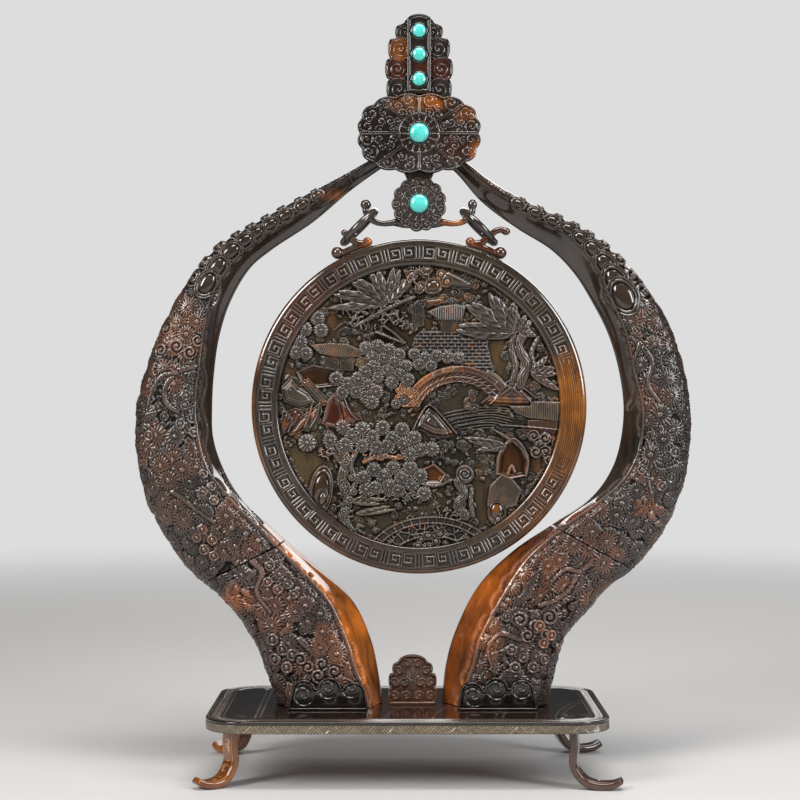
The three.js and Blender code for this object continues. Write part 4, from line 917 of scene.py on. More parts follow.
landscape = {
    "pines": [  # front-view places, size, and colour of each cluster of pine
        ([(300, 342), (296, 352), (305, 329), (306, 353), (317, 318), (321, 330)], 7.4, {"grey": 0.75}),
        ([(366, 348), (378, 346), (372, 356), (389, 350), (399, 354), (384, 358), (395, 362), (374, 366), (406, 366), (388, 370),
          (400, 374), (378, 377), (392, 382), (408, 380), (366, 372)], 7.0, {"grey": 0.7}),
        ([(336, 379), (348, 384), (342, 393), (358, 379), (356, 392), (368, 386), (366, 397), (376, 392), (372, 402)], 7.6, {"grey": 0.55, "red": 0.12}),
        ([(414, 354), (425, 358), (437, 356), (448, 357), (458, 358), (419, 364), (431, 366)], 6.6, {"grey": 0.7}),
        ([(330, 441), (343, 427), (352, 436), (362, 430), (372, 438), (383, 428), (392, 438), (402, 430), (404, 444), (388, 446),
          (376, 448), (362, 446), (346, 445), (414, 438), (420, 450), (410, 454), (432, 449)], 7.9, {"grey": 0.7}),
        ([(307, 443)], 9.2, {"grey": 0.6, "olive": 0.2}),
        ([(364, 478), (374, 470), (384, 476), (393, 468), (402, 478), (410, 468), (388, 486), (398, 490), (376, 488), (412, 484),
          (366, 490), (424, 494), (420, 476)], 7.8, {"grey": 0.75}),
        ([(404, 400), (396, 404)], 5.4, {"grey": 0.5})],
    "blades": [  # foot, tips, half width, colour
        ((388, 303), [(327, 306), (331, 296), (338, 288), (347, 281), (356, 275), (367, 270), (379, 267), (391, 266), (402, 270),
                      (411, 277)], 4.3, {"grey": 0.8}),
        ((512, 334), [(459, 322), (464, 308), (474, 300), (486, 295), (499, 295), (511, 301), (520, 312), (456, 334)], 6.4, {"grey": 0.85}),
        ((518, 330), [(534, 322), (537, 334), (528, 316)], 4.0, {"grey": 0.8}),
        ((531, 372), [(549, 358), (556, 366), (557, 376), (553, 386), (558, 392)], 4.0, {"grey": 0.6, "red": 0.3}),
        ((352, 502), [(382, 491), (386, 498), (380, 506)], 2.8, {"grey": 0.4, "olive": 0.4}),
        ((356, 514), [(396, 511), (390, 505)], 2.6, {"grey": 0.4, "olive": 0.3}),
        ((506, 446), [(464, 436), (468, 443), (476, 449), (488, 452)], 3.4, {"grey": 0.7})],
    "twigs": [((372, 298), (26, 10), 34, {"grey": 0.35, "polish": 0.6}), ((352, 314), (12, 12), 22, {"grey": 0.3, "polish": 0.6}),
              ((385, 320), (22, 9), 26, {"grey": 0.3}), ((336, 454), (16, 7), 18, {"grey": 0.3, "amber": 0.25}),
              ((386, 456), (24, 5), 26, {"amber": 0.55}), ((398, 497), (18, 4), 22, {"grey": 0.1, "polish": 0.8}),
              ((344, 500), (7, 22), 26, {"grey": 0.3, "olive": 0.2}), ((418, 276), (10, 7), 14, {"polish": 0.7, "amber": 0.2}),
              ((491, 332), (12, 4), 12, {"grey": 0.5}), ((452, 512), (14, 5), 16, {"olive": 0.3})],
    "branches": [  # places, width, lines, level, colour
        ([(355, 326), (372, 317), (392, 306), (414, 297)], 2.0, 0.6, -0.3, {"grey": 0.6}),
        ([(376, 332), (396, 340), (404, 343)], 1.6, 0.6, -0.6, {"grey": 0.5}),
        ([(384, 326), (394, 333), (405, 343)], 1.3, 0.0, -0.5, {"grey": 0.9}),
        ([(526, 330), (518, 346), (526, 362), (520, 386)], 5.2, 2.2, -0.3, {"grey": 0.45, "red": 0.15}),
        ([(514, 334), (512, 350), (516, 366), (512, 384)], 3.4, 1.6, -0.6, {"grey": 0.4, "red": 0.15}),
        ([(538, 338), (532, 352), (534, 366)], 2.6, 1.2, -0.7, {"grey": 0.4}),
        ([(340, 446), (346, 462), (342, 480), (348, 498), (344, 516), (352, 536)], 5.6, 2.0, -0.35, {"grey": 0.4, "olive": 0.15}),
        ([(356, 452), (350, 466), (356, 480), (350, 494)], 3.2, 1.4, -0.5, {"grey": 0.4, "red": 0.15}),
        ([(330, 446), (338, 458), (346, 468)], 3.0, 1.3, -0.5, {"grey": 0.4}),
        ([(364, 462), (380, 456), (398, 458), (412, 454)], 2.4, 1.0, -0.6, {"amber": 0.8}),
        ([(458, 482), (464, 494), (458, 506), (466, 516)], 5.0, 2.4, -0.6, {"grey": 0.45}),
        ([(472, 490), (471, 502), (473, 516)], 2.6, 0.8, -0.35, {"grey": 0.35}),
        ([(402, 470), (418, 482), (436, 486), (452, 480)], 1.8, 0.8, -0.5, {"grey": 0.4})]}


def carvePanel():
    dice = np.random.default_rng(panelForm["seed"])
    x, z = roundGrid(panelForm["cells"], panelForm["radius"])
    points = np.stack([x + panelForm["middle"][0], np.full_like(x, panelForm["front"]), z + panelForm["middle"][1]], axis=-1)
    relief = newRelief(points, np.broadcast_to(np.array([0.0, -1.0, 0.0]), points.shape))
    px, py, floor = relief.px, relief.py, panelForm["ground"]
    wave = np.sin(2 * np.pi * (py + 0.9 * np.sin(px * 0.31) + 0.5 * np.sin(px * 0.83 + py * 0.2)) / 1.9)
    relief.height = floor + 0.13 * wave + 0.25 * np.sin(px * 0.06) * np.sin(py * 0.05)
    relief.marks["olive"][:] = 0.75
    relief.marks["grey"][:] = 0.35

    # Ground: scales at the lower left, streams in the middle, ridged banks
    scales = polygonDepth(px, py, [(281, 432), (322, 446), (340, 478), (330, 500), (300, 500), (278, 460)])
    arcs = np.abs(np.sin(np.pi * (np.hypot(np.mod(px + 2.5 * np.mod(np.floor(py / 2.6), 2), 5) - 2.5, np.mod(py, 2.6) * 1.3)) / 2.6))
    relief.height = np.where(scales > 0, floor + 0.3 - 0.3 * arcs, relief.height)
    tint(relief, 305, 468, (30, 34), 0.9, olive=1.0, grey=0.1, amber=0.12)
    for spot, size, marks in (((330, 322), (16, 24), {"amber": 0.45, "olive": 0.9}), ((318, 340), (18, 10), {"amber": 0.3}),
                              ((288, 372), (10, 18), {"amber": 0.5}), ((430, 318), (16, 18), {"amber": 0.4}),
                              ((448, 300), (26, 8), {"amber": 0.75}), ((498, 352), (12, 22), {"amber": 0.35}),
                              ((486, 498), (14, 30), {"olive": 1.0, "amber": 0.2}), ((536, 470), (12, 30), {"amber": 0.8}),
                              ((402, 330), (16, 10), {"amber": 0.3}), ((366, 516), (18, 10), {"olive": 1.0, "amber": 0.2}),
                              ((546, 350), (10, 14), {"olive": 1.0, "amber": 0.25}), ((470, 420), (46, 18), {"grey": 0.9, "olive": 0.15}),
                              ((440, 470), (34, 14), {"grey": 0.8, "olive": 0.3})):
        tint(relief, *spot, size, 0.85, **marks)
    for k in range(9):
        y = 408 + 2.6 * k
        stroke(relief, [(436 + 2 * k, y + 8), (462, y + 2 + k % 3), (492, y - 1), (520 - 2 * k, y + 3)], 1.0, level=floor + 0.9, marks={"grey": 0.8})
    for k in range(7):
        stroke(relief, [(404 + 3 * k, 512 + 1.5 * k), (436, 506 + k), (462 - k, 511 + 2 * k)], 0.8, level=floor + 0.6, marks={"grey": 0.7})
    for k in range(6):
        stroke(relief, [(334 + 6 * k, 330 + k), (346 + 6 * k, 322 + 2 * k), (350 + 6 * k, 334)], 0.9, level=floor + 0.7, marks={"grey": 0.2})

    # Small wood and leaves that fill the ground
    for _ in range(panelForm["small"]):
        sx, sy = dice.uniform(275, 562), dice.uniform(262, 545)
        if any(math.hypot((sx - cx) / wx, (sy - cy) / wy) < 1 for (cx, cy), (wx, wy) in panelForm["open"]):
            continue
        kind = (pineDisc, leaf, curl, leaf)[int(dice.integers(0, 4))]
        marks = {"olive": dice.choice([0.0, 0.3, 0.8]), "grey": dice.uniform(0, 0.5), "amber": dice.choice([0.0, 0.0, 0.0, 0.4])}
        form = {"spokes": 12} if kind is pineDisc else {"veins": 9.0} if kind is leaf else {"turns": 1.2}
        stamp(relief, (sx, sy), dice.uniform(2.0, 3.0), kind, turn=dice.uniform(0, 360), level=dice.uniform(-2.4, -1.5), marks=marks, **form)

    # Far buildings
    region(relief, [(411, 306), (424, 306), (424, 326), (413, 328)], lattice(-2.0), marks={"grey": 0.3})
    region(relief, [(421, 331), (462, 331), (462, 338), (486, 338), (494, 372), (463, 372), (456, 352), (412, 352), (414, 338)],
           bricks(-1.7), marks={"grey": 0.5, "olive": 0.0})
    region(relief, [(441, 319), (462, 319), (464, 332), (441, 332)], lattice(-1.6, 2.0), marks={"grey": 0.7, "olive": 0.1})
    region(relief, [(427, 312), (440, 306), (456, 304), (466, 306), (462, 320), (440, 320)], ribs(-0.9, 2.3), marks={"grey": 0.8, "olive": 0.1})
    region(relief, [(324, 357), (339, 357), (339, 370), (324, 369)], lattice(-1.7, 2.0), marks={"grey": 0.5, "olive": 0.3})
    region(relief, [(340, 357), (354, 357), (353, 371), (340, 370)], lattice(-1.7, 2.0), marks={"grey": 0.5, "olive": 0.3})
    region(relief, [(310, 345), (330, 343), (348, 344), (364, 352), (360, 357), (338, 357), (320, 354)], ribs(-0.9, 2.0, lean=0.25), marks={"grey": 0.55, "red": 0.2})
    tint(relief, 331, 350, (10, 7), 0.9, amber=0.6)
    stamp(relief, (362, 363), 3.6, lobe, level=-1.2, marks={"olive": 1.0, "amber": 0.2, "grey": 0.0})
    region(relief, [(528, 420), (562, 420), (562, 429), (528, 428)], ribs(-1.6, 3.0, 0.2), marks={"grey": 0.5, "red": 0.4})
    region(relief, [(508, 404), (528, 401), (562, 402), (562, 421), (528, 418), (516, 413)], ribs(-0.9, 2.2), marks={"grey": 0.75, "red": 0.12})
    region(relief, [(519, 429), (562, 430), (560, 440), (530, 436)], hollow(-1.8, 1.0), marks={"red": 0.9, "olive": 0.0})
    stroke(relief, [(500, 425), (528, 427), (560, 430)], 0.9, level=-0.9, marks={"grey": 0.9})

    # Clouds and dark blossoms at the top
    region(relief, [(436, 268), (450, 270), (474, 282), (470, 289), (452, 288), (438, 280)], terraces(-2.2, 1.6, 4.0, 0.2), marks={"polish": 1.0, "grey": 0.1, "olive": 0.0})
    for spot, size in (((412, 275), 3.9), ((427, 270), 3.4), ((433, 286), 6.0), ((420, 288), 3.8), ((441, 274), 3.2), ((405, 284), 3.2), ((447, 282), 3.6)):
        stamp(relief, spot, size, boss, squash=0.85, turn=dice.uniform(0, 180), level=-0.5, marks={"amber": 0.35, "polish": 1.0, "olive": 0.0, "grey": 0.1})
    region(relief, [(420, 300), (441, 297), (444, 302), (430, 306)], terraces(-1.9, 1.0), marks={"amber": 1.0, "polish": 0.8})

    # Rocks
    dark = {"polish": 0.9, "olive": 0.0, "grey": 0.12}
    rust = {"polish": 0.8, "olive": 0.1, "red": 0.85, "grey": 0.15}
    for corners, kind, marks in (
            ([(296, 372), (312, 365), (338, 370), (334, 386), (318, 388), (302, 384)], hollow(-1.6, 1.5), {"amber": 0.35, "polish": 1.0, "olive": 0.0, "grey": 0.0}),
            ([(280, 388), (292, 376), (300, 386), (310, 392), (318, 404), (300, 408), (284, 402)], terraces(-2.2, 1.6, 3.0), {"grey": 0.6, "olive": 0.3}),
            ([(300, 382), (308, 378), (330, 402), (322, 406)], terraces(-1.6, 1.2, 3.0), {"grey": 0.7, "olive": 0.2}),
            ([(278, 428), (283, 412), (296, 408), (303, 414), (296, 428), (284, 434)], terraces(-1.8, 1.3, 4.0), rust),
            ([(288, 434), (298, 420), (310, 410), (314, 414), (306, 428), (296, 435)], terraces(-1.6, 1.5, 3.6), rust),
            ([(302, 430), (309, 412), (320, 402), (322, 412), (316, 424), (308, 432)], terraces(-1.4, 1.3, 3.2), dark),
            ([(322, 424), (327, 402), (334, 394), (341, 404), (344, 420), (336, 428)], hollow(-1.1, 1.2, 5.0), {"red": 0.9, "polish": 1.0, "olive": 0.0, "grey": 0.0}),
            ([(338, 402), (344, 398), (352, 412), (362, 418), (354, 426), (344, 424)], terraces(-1.6, 1.5, 3.4), rust),
            ([(365, 336), (380, 330), (398, 340), (392, 345), (372, 344)], hollow(-2.0, 1.3), {"polish": 0.8, "olive": 0.0, "grey": 0.0}),
            ([(480, 404), (494, 390), (512, 378), (520, 384), (537, 398), (530, 406), (512, 406)], terraces(-1.9, 1.7, 3.8, 0.45), {"red": 0.35, "grey": 0.3, "polish": 0.6, "olive": 0.0}),
            ([(411, 434), (418, 416), (428, 404), (438, 410), (458, 434), (446, 438), (432, 436), (420, 430)], terraces(-1.9, 1.7, 3.8, 0.45), {"red": 0.3, "grey": 0.35, "polish": 0.6, "olive": 0.0}),
            ([(421, 470), (434, 464), (446, 474), (440, 484), (424, 484)], hollow(-1.4, 1.5), {"amber": 0.85, "red": 0.3, "polish": 0.8, "olive": 0.0}),
            ([(487, 506), (490, 486), (500, 476), (512, 478), (522, 490), (516, 506), (500, 510)], ribs(-0.9, 1.5, 0.35, lean=0.25), {"grey": 0.6, "olive": 0.3})):
        region(relief, corners, kind, marks=marks)
    for spot, size, marks in (((500, 401), (20, 5), {"amber": 0.9, "red": 0.0}), ((448, 433), (10, 5), {"amber": 0.95, "red": 0.0}),
                              ((418, 414), (8, 8), {"amber": 0.45})):
        tint(relief, *spot, size, 0.9, **marks)
    for path in ([(482, 403), (496, 392), (512, 380), (524, 388), (536, 398)], [(490, 404), (502, 394), (514, 387), (526, 396), (532, 403)],
                 [(412, 433), (420, 416), (429, 405), (440, 414), (457, 434)], [(420, 426), (428, 413), (437, 420), (447, 434)],
                 [(312, 404), (309, 416), (304, 428)], [(319, 404), (317, 416), (310, 428)], [(345, 400), (350, 412), (358, 420)],
                 [(286, 412), (292, 420), (288, 432)]):
        stroke(relief, path, 0.85, level=-0.15, drop=0.5, marks={"grey": 1.0, "red": 0.0, "polish": 0.9})
    cave = [(497, 474), (499, 456), (506, 444), (514, 439), (522, 446), (528, 460), (526, 476), (510, 479)]
    region(relief, cave, hollow(-0.8, 2.3, 5.0), marks={"red": 0.35, "amber": 0.3, "polish": 0.9, "olive": 0.0, "grey": 0.0})
    stroke(relief, cave[:7], 1.5, level=-0.15, lines=0.5, marks={"grey": 0.9, "red": 0.0})
    stroke(relief, [(508, 474), (512, 466), (515, 472)], 1.8, level=-1.4, marks={"amber": 0.5, "grey": 0.5})
    for spot in ((534, 436), (540, 444), (546, 452), (550, 460), (536, 452), (545, 438)):
        stamp(relief, spot, 3.8, scroll, turn=dice.uniform(0, 360), level=-0.6, marks={"grey": 0.7, "red": 0.15, "olive": 0.1})
    for k in range(5):
        stroke(relief, [(494 + 3 * k, 430 + 2 * k), (506 + 3 * k, 436 + 2 * k), (516 + 3 * k, 444 + 3 * k)], 1.0, level=-0.8, marks={"grey": 0.85})

    # Bridge
    bx, by = 458.0, 425.0
    rad, ang = np.hypot(px - bx, py - by), np.degrees(np.arctan2(by - py, px - bx))
    onArch = (py < 407) & (ang > 38) & (ang < 162)
    band = onArch * smooth(42.4, 43.2, rad) * smooth(59.6, 58.8, rad)
    course = np.mod((rad - 43.0) / 5.0, 1) * 5.0
    along = np.mod(np.radians(ang) * rad / 6.0 + 0.5 * np.floor((rad - 43.0) / 5.0), 1) * 6.0
    joint = np.minimum(np.minimum(course, 5.0 - course), np.minimum(along, 6.0 - along))
    brickwork = -0.9 - 0.5 * smooth(0.3, 0.8, joint)
    tick = np.minimum(np.abs(np.mod(ang, 11.0) - 4.6), np.abs(np.mod(ang, 11.0) - 6.2)) * np.radians(1) * rad
    rail = -0.15 - 0.45 * ridge(tick, 0.7) - 0.4 * ridge(rad - 53.6, 0.6)
    layOn(relief, np.arange(len(px)), np.where(rad > 53.3, rail, brickwork), band, {"red": 0.3, "grey": 0.35, "olive": 0.0})
    warm = smooth(470, 432, px)
    relief.marks["amber"] += (warm * 0.85 - relief.marks["amber"]) * band
    relief.marks["red"] += (0.5 - relief.marks["red"]) * band * smooth(500, 470, px) * 0.8
    stroke(relief, [(488, 372), (497, 377), (505, 386)], 2.4, level=0.0, marks={"grey": 1.0, "polish": 1.0})
    for _ in range(30):
        x0, y0 = dice.uniform(398, 420), dice.uniform(384, 404)
        stamp(relief, (x0, y0), dice.uniform(1.2, 2.2), ringedPearl, level=-1.0 + dice.uniform(0, 0.6), marks={"amber": 0.95, "polish": 0.8, "olive": 0.0})

    # Trees
    for places, width, lines, level, marks in landscape["branches"]:
        stroke(relief, places, width, level=level, lines=lines, deep=0.4, drop=0.9, marks={"olive": 0.0, "amber": 0.0, **marks})
    for spot, spread, count, marks in landscape["twigs"]:
        twigs(relief, *spot, spread, count, dice, marks={"olive": 0.0, "amber": 0.0, **marks})
    for foot, tips, width, marks in landscape["blades"]:
        for k, tip in enumerate(tips):
            blade(relief, foot, tip, width, level=-0.35 - 0.25 * (k % 2), veins=9.0, deep=0.4, bow=0.25 - 0.5 * (k % 2),
                  marks={"olive": 0.1, "amber": 0.0, **marks})
    for spots, size, marks in landscape["pines"]:
        for k, spot in enumerate(spots):
            stamp(relief, spot, size * 0.617 * dice.uniform(0.94, 1.06), pineDisc, turn=dice.uniform(0, 360), level=-0.15 - 0.3 * dice.random(),
                  spokes=int(dice.integers(13, 17)), deep=0.5, dome=0.7, marks={"olive": 0.1, "amber": 0.0, **marks})
    stamp(relief, (465, 474), 5.6, scroll, turns=2.6, deep=0.6, level=-0.4, marks={"grey": 0.6, "olive": 0.1})
    for spot in ((346, 462), (352, 478), (343, 488), (350, 500), (344, 512), (354, 492), (347, 522)):
        stamp(relief, spot, 2.3, ringedPearl, level=-0.2, marks={"grey": 0.5})

    # Hollows with bright rims
    for spot, size, squash, turn in (((321, 491), 15.5, 0.46, 82), ((497, 512), 8.0, 0.72, 90)):
        stamp(relief, spot, size, boss, squash=squash, turn=turn, level=-0.5, marks={"polish": 1.0, "olive": 0.0, "grey": 0.08, "red": 0.15})
        stamp(relief, (spot[0] + 1, spot[1] + 8), size * 0.4, boss, squash=squash + 0.1, turn=turn, level=-0.4, marks={"polish": 1.0, "grey": 0.5})

    # Lower arch of cracked ice, with pebbles inside
    ex, ey = 432.0, 573.0
    arch = np.hypot((px - ex) / 1.28, py - ey)
    archBand = smooth(35.4, 36.2, arch) * smooth(57.2, 56.4, arch) * (py < 560)
    seeds = np.stack([dice.uniform(355, 510, 260), dice.uniform(512, 560, 260)], axis=1)
    pick = np.nonzero(archBand > 0)[0]
    away = np.sort(np.hypot(px[pick, None] - seeds[:, 0], py[pick, None] - seeds[:, 1]), axis=1)[:, :2]
    ice = -2.3 + 1.1 * smooth(1.3, 0.4, away[:, 1] - away[:, 0])
    edge = np.maximum.reduce([ridge(arch[pick] - r, 1.2) for r in (37.0, 49.8, 55.6)])
    ticks = ridge(np.mod(np.degrees(np.arctan2(ey - py[pick], px[pick] - ex)), 9.0) - 4.5, 0.8) * (arch[pick] > 50)
    ice = np.where(arch[pick] > 50.2, -1.5 + 0.9 * ticks, ice)
    layOn(relief, pick, np.maximum(ice, -2.3 + 2.0 * edge), archBand[pick], {"olive": 0.1, "grey": 0.6, "polish": 0.3})
    pond = smooth(35.6, 34.8, arch)
    layOn(relief, np.arange(len(px)), floor + 0.12 * wave, pond, {"olive": 1.0, "amber": 0.25, "grey": 0.0})
    for spot in ((421, 540), (428, 536), (436, 542), (430, 547), (440, 535), (418, 547), (446, 544), (425, 552)):
        stamp(relief, spot, dice.uniform(2.2, 3.4), boss, squash=0.8, turn=dice.uniform(0, 180), level=-1.0, marks={"polish": 1.0, "olive": 0.0, "grey": 0.0, "amber": 0.0})

    edgeRun = np.hypot(relief.points[:, 0] - panelForm["middle"][0], relief.points[:, 2] - panelForm["middle"][1])
    relief.height = np.clip(relief.height, -3.7, 0.0) - 0.5 * smooth(85.6, 87.0, edgeRun)
    readShadeAndSheen(relief, 3.4)
    return relief, points


def plateFrom(name, relief, points, rows, back, material, body, slot, *nodes, wrap=False, axis=1):
    shaped = points + (relief.normals * relief.height[:, None]).reshape(points.shape)
    first, last = rows
    marks = {mark: values.reshape(relief.shape)[first:last].ravel() for mark, values in relief.marks.items()}
    mesh = gridMesh(name, shaped[first:last], marks)
    closePlate(mesh, back, points.shape[1] if wrap else 0, axis)
    return place(name, mesh, material, body, slot, *nodes)


panelRelief, panelPoints = carvePanel()
half = panelForm["cells"] // 2
plateFrom("panel_lower", panelRelief, panelPoints, (0, half + 1), panelForm["back"], hornOlive, "disc", "horn_olive", "disc_panel_front")
plateFrom("panel_upper", panelRelief, panelPoints, (half, None), panelForm["back"], hornOlive, "disc", "horn_olive", "disc_panel_front")
print("landscape carved")


rimForm = {"middle": (4.0, 225.1), "steps": 1400, "keys": 56, "fret": (91.3, 98.9), "lines": (88.6, 89.6, 90.5, 99.7, 100.6),
           "seams": (163, 214, 262, 318, 25, 74, 118),
           "profile": [(87.3, 5.2, 1), (87.3, 0.0, 1), (87.3, -5.2, 3), (88.9, -6.0, 30), (101.0, -6.0, 3), (102.7, -5.3, 2), (103.5, -3.5, 2),
                       (103.5, 0.0, 2), (103.5, 3.5, 2), (102.7, 5.3, 2), (101.0, 6.0, 12), (88.9, 6.0, 2)],
           "key": [[(0.0, 0.0), (0.0, 1.0)], [(0.2, 0.0), (0.2, 1.0), (0.86, 1.0), (0.86, 0.26), (0.46, 0.26), (0.46, 0.64), (0.66, 0.64)]]}


def carveRim():
    radius, depth = [], []
    profile = rimForm["profile"]
    for (r0, y0, steps), (r1, y1, _) in zip(profile, profile[1:] + profile[:1]):
        for k in range(steps):
            radius.append(r0 + (r1 - r0) * k / steps)
            depth.append(y0 + (y1 - y0) * k / steps)
    radius, depth = np.array(radius + radius[:1]), np.array(depth + depth[:1])
    angle = np.linspace(0, 2 * np.pi, rimForm["steps"] + 1)[:, None]
    points = np.stack([rimForm["middle"][0] + radius * np.cos(angle), depth + 0 * angle, rimForm["middle"][1] + radius * np.sin(angle)], axis=-1)
    relief = newRelief(points, np.broadcast_to(np.array([0.0, -1.0, 0.0]), points.shape))
    front = ((depth < -5.9) + 0 * angle > 0).ravel()
    rad = (radius + 0 * angle).ravel()
    turn = (np.degrees(angle) + 0 * radius).ravel()
    low, high = rimForm["fret"]
    cell = turn / 360 * rimForm["keys"]
    a, b = np.mod(cell, 1), (rad - low) / (high - low)
    flip = np.mod(np.floor(cell), 2) > 0
    a, b = np.where(flip, 1 - a, a), np.where(flip, 1 - b, b)
    wide, tall = 2 * np.pi * 95 / rimForm["keys"], high - low
    near = np.full(a.shape, 9.0)
    for line in rimForm["key"]:
        d, _, _ = pathNear([(p[0] * wide, p[1] * tall) for p in line], a * wide, b * tall)
        near = np.minimum(near, d)
    near = np.minimum(near, (1 - a) * wide)
    faint = smooth(-30, -18, np.mod(turn + 180, 360) - 180) * smooth(22, 14, np.mod(turn + 180, 360) - 180)
    inBand = smooth(low - 0.5, low - 0.1, rad) * smooth(high + 0.5, high + 0.1, rad)
    fret = -0.6 * smooth(0.26, 0.52, near)
    fine = -0.3 * (0.5 - 0.5 * np.cos(2 * np.pi * rad / 1.3))
    height = inBand * (fret * (1 - faint) + fine * faint)
    for r in rimForm["lines"]:
        height = height - 0.4 * ridge(rad - r, 0.42) * (1 - inBand)
    for seam in rimForm["seams"]:
        gap = np.abs(np.mod(turn - seam + 180, 360) - 180) * np.pi / 180 * rad
        height = height - 0.35 * ridge(gap, 0.35)
    height += 0.12 * np.sin(np.radians(turn) * 3 + 1) * smooth(99, 103, rad)
    back = ((depth > 5.9) + 0 * angle > 0).ravel()
    relief.height = np.where(front, height, 0.0) + np.where(back, -0.35 * ridge(rad - 92, 0.7) - 0.35 * ridge(rad - 99, 0.7), 0.0)
    readShadeAndSheen(relief, 1.2, times=3)
    relief.marks["polish"][:] = 0.45
    relief.marks["polish"] = np.maximum(relief.marks["polish"], smooth(100.4, 101.2, rad))
    side = np.mod(turn + 180, 360) - 180
    relief.marks["amber"] = smooth(-34, -24, side) * smooth(24, 18, side) * 0.9
    relief.marks["amber"] = np.maximum(relief.marks["amber"], 0.45 * smooth(-62, -50, side) * smooth(-20, -34, side))
    relief.marks["amber"] = np.maximum(relief.marks["amber"], 0.7 * smooth(100.5, 102.5, rad) * smooth(150, 165, np.abs(side)))
    relief.marks["amber"] = np.maximum(relief.marks["amber"], 0.5 * smooth(101, 102.5, rad) * smooth(-130, -120, side) * smooth(-60, -70, side))
    relief.marks["red"] = 0.45 * smooth(112, 122, side) * smooth(160, 145, side) + 0.25 * smooth(-150, -140, side) * smooth(-100, -112, side)
    relief.marks["grey"] = 0.5 * smooth(150, 175, np.abs(side)) + 0.35 * smooth(-62, -80, side)
    shaped = points.copy()
    shaped[..., 1] -= np.where(front, relief.height, -relief.height).reshape(relief.shape)
    mesh = gridMesh("rim_fretted", shaped, relief.marks)
    closeRing(mesh, points.shape[0], points.shape[1])
    place("rim_fretted", mesh, hornOlive, "disc", "horn_olive", "disc_rim")


def closeRing(mesh, rows, columns):  # joins a grid that wraps both ways
    bm = bmesh.new()
    bm.from_mesh(mesh)
    edge = [v for k, v in enumerate(bm.verts) if k % columns in (0, columns - 1) or k // columns in (0, rows - 1)]
    bmesh.ops.remove_doubles(bm, verts=edge, dist=1e-7)
    bmesh.ops.recalc_face_normals(bm, faces=bm.faces)
    bm.to_mesh(mesh)
    bm.free()


carveRim()
print("rim fretted")


# Plates: flat pieces of horn with a carved front

def scalloped(angle, halfWidth, halfHeight, lobes, depth, power=2.0):  # an oval with a scalloped edge
    c, s = np.cos(angle), np.sin(angle)
    dip = depth * (1 - np.abs(np.sin(lobes * angle / 2)))
    grow = (np.abs(c) ** power + np.abs(s) ** power) ** (-1 / power)
    return (halfWidth - dip) * grow * c, (halfHeight - dip) * grow * s


def lobedSide(lobes, foot, top, bulge, capHalf, capTop):  # half widths and heights up a side of bulging lobes
    side, low = [], foot
    for halfWidth, share in lobes:
        head = foot + share * (top - foot)
        for a in np.linspace(-np.pi / 2, np.pi / 2, 12):
            side.append((halfWidth - bulge + bulge * math.cos(a), (low + head) / 2 + 0.48 * (head - low) * math.sin(a)))
        low = head
    side += [(capHalf * math.cos(a), low + (capTop - low) * math.sin(a)) for a in np.linspace(0.2, 1.53, 8)]
    return np.array(side)


class Plate:  # a grid from one edge line to the other, or round a middle, and what is carved in it
    def __init__(self, near, far, steps, middle, front, wrap=False):
        share = np.linspace(0, 1, steps + 1)[:, None, None]
        flat = near[None] * (1 - share) + far[None] * share
        if not wrap:
            flat = flat.transpose(1, 0, 2)
        self.x, self.z = flat[..., 0].ravel(), flat[..., 1].ravel()
        self.points = np.stack([flat[..., 0] + middle[0], np.full(flat.shape[:2], front), flat[..., 1] + middle[1]], axis=-1)
        self.relief = newRelief(self.points, np.broadcast_to(np.array([0.0, -1.0, 0.0]), self.points.shape))
        self.wrap, self.middle = wrap, middle
        outline = far if wrap else np.vstack([near, far[::-1]])
        self.edge = np.maximum(polygonDepth(self.x, self.z, [tuple(p) for p in outline[::max(1, len(outline) // 160)]]), 0)

    def stamp(self, x, z, size, motif, turn=0.0, level=0.0, marks=None, **form):
        spot = int(np.argmin((self.x - x) ** 2 + (self.z - z) ** 2))
        stamp(self.relief, spot, size, motif, turn=turn, level=level, marks=marks, **form)

    def lay(self, height, cover=1.0, **marks):
        layOn(self.relief, np.arange(len(self.x)), height, cover * np.ones(len(self.x)), marks)

    def border(self, lip=0.9, groove=0.35, deep=0.5):  # a raised lip along the edge, rounded outside
        raised = smooth(lip + 0.3, lip, self.edge)
        self.relief.height += (-0.05 - self.relief.height) * raised
        self.relief.height -= deep * ridge(self.edge - lip - groove - 0.2, groove)
        self.relief.height -= 0.6 * smooth(0.55, 0.0, self.edge) ** 2

    def seat(self, x, z, radius):  # a stone's seat, with a thin raised edge round it
        away = np.hypot(self.x - x, self.z - z)
        self.relief.height -= 0.45 * ridge(away - radius - 1.5, 0.5)
        self.relief.height = np.where(away < radius + 0.9, -0.15 - 0.25 * (away - radius), self.relief.height)
        self.relief.height = np.where(away < radius + 0.25, -1.35, self.relief.height)

    def make(self, name, back, material, slot, *nodes, body="frame", deep=1.2, times=3):
        readShadeAndSheen(self.relief, deep, self.wrap, times=times)
        self.relief.marks["polish"] = np.maximum(self.relief.marks["polish"], 0.75)
        return plateFrom(name, self.relief, self.points, (0, None), back, material, body, slot, *nodes, wrap=self.wrap)


def roundPlate(outline, middle, front, rows=64, columns=480, hole=0.06):
    angle = np.linspace(0, 2 * np.pi, columns + 1)
    x, z = outline(angle)
    edge = np.stack([x, z], axis=-1)
    return Plate(edge * hole, edge, rows, middle, front, wrap=True)


def sidePlate(side, middle, front, rows=200, columns=120):  # side is half widths and heights, from the foot up
    z = np.linspace(side[0, 1], side[-1, 1], rows + 1)
    half = np.maximum(np.interp(z, side[:, 1], side[:, 0]), 0.3)
    return Plate(np.stack([-half, z], axis=-1), np.stack([half, z], axis=-1), columns, middle, front)


